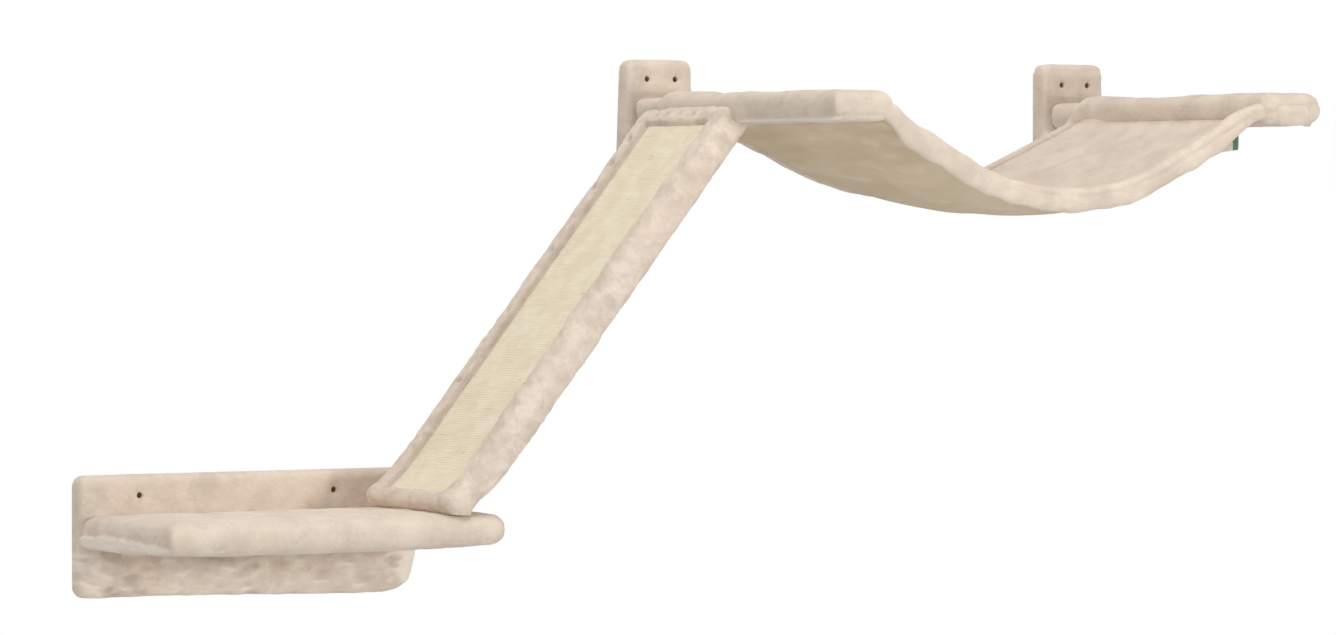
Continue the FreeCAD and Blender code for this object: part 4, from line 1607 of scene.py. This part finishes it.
def on_cloth(surface, near, along, size):
    """Where a small form lies on cloth: its place, its length along a direction, its height outwards."""
    spot, normal = surface.find_nearest(near)[:2]
    forward = (along - along.dot(normal) * normal).normalized()
    turn = Matrix((forward, normal.cross(forward), normal)).transposed()
    return Matrix.LocRotScale(spot, turn.to_quaternion(), size)


def stitch_row(bm, cloth, places):
    surface = surface_of(bpy.data.objects[cloth])
    for here, onward in zip(places, places[1:]):
        place = on_cloth(surface, here, onward - here, stitch_size)
        bmesh.ops.create_uvsphere(bm, u_segments=6, v_segments=4, radius=0.5, matrix=place)


def spaced(start, end):
    count = int((end - start) / stitch_pitch)
    return [start + stitch_pitch * i for i in range(count + 1)]


def stitches():
    bm = bmesh.new()
    left, right = left_pocket[0].x + pocket_seam_inset, right_pocket[1].x - pocket_seam_inset
    depths = spaced(left_pocket[0].y + pocket_seam_end, left_pocket[1].y - pocket_seam_end)
    for side, outer in (("left", left), ("right", right)):
        low = left_pocket[0].z + arm_tucks[side] + pocket_seam_rise
        stitch_row(bm, "hammock_" + side + "_pocket", [Vector((outer, y, low)) for y in depths])
    hem_rows = (
        ("hammock_sling_plush", sling_front + hem_seam_inset, seam_search),
        ("hammock_sling_plush", sling_rear - hem_seam_inset, seam_search),
        ("hammock_lining_cloth", sling_front + lining_seam_inset, -seam_search),
    )
    across = spaced(sling_seam_end - sling_half, sling_half - sling_seam_end)
    for cloth, y, above in hem_rows:
        lines = [(x, sling_height(x, sag_at(y))[0]) for x in across]
        stitch_row(bm, cloth, [Vector((sling_x + x, y, height + above)) for x, height in lines])
    piece_from(bm, "hammock_stitches", thread_finish(), "lining")


def staples():
    bm = bmesh.new()
    level, upright = Vector((1, 0, 0)), Vector((0, 0, 1))
    rows = []
    for panel in ("shelf_backboard", "left_wall_plate", "right_wall_plate"):
        spots = panel_staples(*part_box(panel + "_cover"))
        rows.append((panel + "_plush", [(spot, level if is_level else upright) for spot, is_level in spots]))
    ramp_row = evenly(ramp_staple_end, ramp_length - ramp_staple_end)
    ramp_spots = [ramp_place @ Vector((x, ramp_lap + lap_staple_inset, -lap_staple_search)) for x in ramp_row]
    rows.append(("ramp_plush", [(spot, ramp_along) for spot in ramp_spots]))
    low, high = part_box("shelf_board_cover")
    shelf_row = evenly(low.x + shelf_staple_left, high.x - shelf_staple_right)
    shelf_spots = [Vector((x, shelf_lap + lap_staple_inset, low.z - lap_staple_search)) for x in shelf_row]
    rows.append(("shelf_plush", [(spot, level) for spot in shelf_spots]))
    for cloth, spots in rows:
        surface = surface_of(bpy.data.objects[cloth])
        for spot, along in spots:
            bmesh.ops.create_cube(bm, size=1.0, matrix=on_cloth(surface, spot, along, staple_size))
    bmesh.ops.bevel(bm, geom=bm.edges[:], offset=staple_bevel, affect="EDGES",
                    segments=1, profile=0.5, material=-1)
    piece_from(bm, "cover_staples", zinc_finish, "steel")


stitches()
staples()

# %% [markdown]
# ## Boards and steel from the CAD model
#
# The boards, screws and strap keep their CAD shape and get their finish.

# %% CAD nodes
for node, slot in {s["node"]: s["material_slot"] for s in frame["record"]["subparts"]}.items():
    if slot in ("chipboard", "steel"):
        frame["nodes"][node].material_slots[0].material = chip_finish if slot == "chipboard" else zinc_finish

# %% [markdown]
# ## Stage and light
#
# The photograph has a white ground and soft light. A lamp in front, a little to the right and hardly
# above level, throws the ramp's short shadow on the backboard. A large lamp above lights the ramp and
# the tops, a weak one lifts the left faces, another lights the back, and the world fills the rest. The
# floor and the world are white to the camera, so the ground looks the same everywhere, but the floor
# still darkens in the object's shadow.

# %% Stage and light
floor_drop = 0.45
floor_radius = 3.0
floor_forward = 0.2
floor_sides = 64
floor_bounce = 0.72
ambient = 0.42


def studio_floor():
    bm = bmesh.new()
    bmesh.ops.create_circle(bm, cap_ends=True, segments=floor_sides, radius=floor_radius)
    bmesh.ops.translate(bm, vec=(view_target.x, -floor_forward, cad_box[0].z - floor_drop), verts=bm.verts)
    mesh = bpy.data.meshes.new("floor")
    bm.to_mesh(mesh)
    bm.free()
    ground = Finish("pale_floor", {"Base Color": (floor_bounce,) * 3 + (1.0,), "Roughness": 0.9})
    seen = ground.node("ShaderNodeLightPath", output="Is Camera Ray")
    glow = ground.mix(seen, (0.0, 0.0, 0.0, 1.0), (0.6, 0.6, 0.6, 1.0))
    ground.shader.inputs["Emission Strength"].default_value = 1.0
    mesh.materials.append(ground.show(Emission_Color=glow))
    floor = bpy.data.objects.new("floor", mesh)
    bpy.context.collection.objects.link(floor)


def studio_world():
    world = bpy.data.worlds.new("studio")
    world.use_nodes = True
    bpy.context.scene.world = world
    net = Net(world.node_tree)
    rays = [net.node("ShaderNodeLightPath", output=name)
            for name in ("Is Camera Ray", "Is Glossy Ray", "Is Transmission Ray")]
    seen = net.node("ShaderNodeClamp", inputs={"Value": rays[0] + rays[1] + rays[2]})
    background = world.node_tree.nodes["Background"]
    background.inputs["Color"].default_value = (1.0, 1.0, 1.0, 1.0)
    net.feed(background.inputs["Strength"], ambient + (1 - ambient) * seen)


def lamp(name, offset, size, power):
    """A square soft lamp that looks at the object from an offset."""
    light = bpy.data.lights.new(name, "AREA")
    light.size = size
    light.energy = power
    holder = bpy.data.objects.new(name, light)
    bpy.context.collection.objects.link(holder)
    holder.location = view_target + Vector(offset)
    holder.rotation_euler = Vector(offset).to_track_quat("Z", "Y").to_euler()


studio_floor()
studio_world()
lamp("key", offset=(0.67, -3.43, 0.14), size=0.40, power=40.0)
lamp("overhead", offset=(-0.50, -0.90, 2.90), size=2.4, power=52.0)
lamp("left", offset=(-3.20, -0.60, 0.40), size=1.8, power=14.0)
lamp("back", offset=(0.30, 3.00, 1.20), size=2.0, power=20.0)
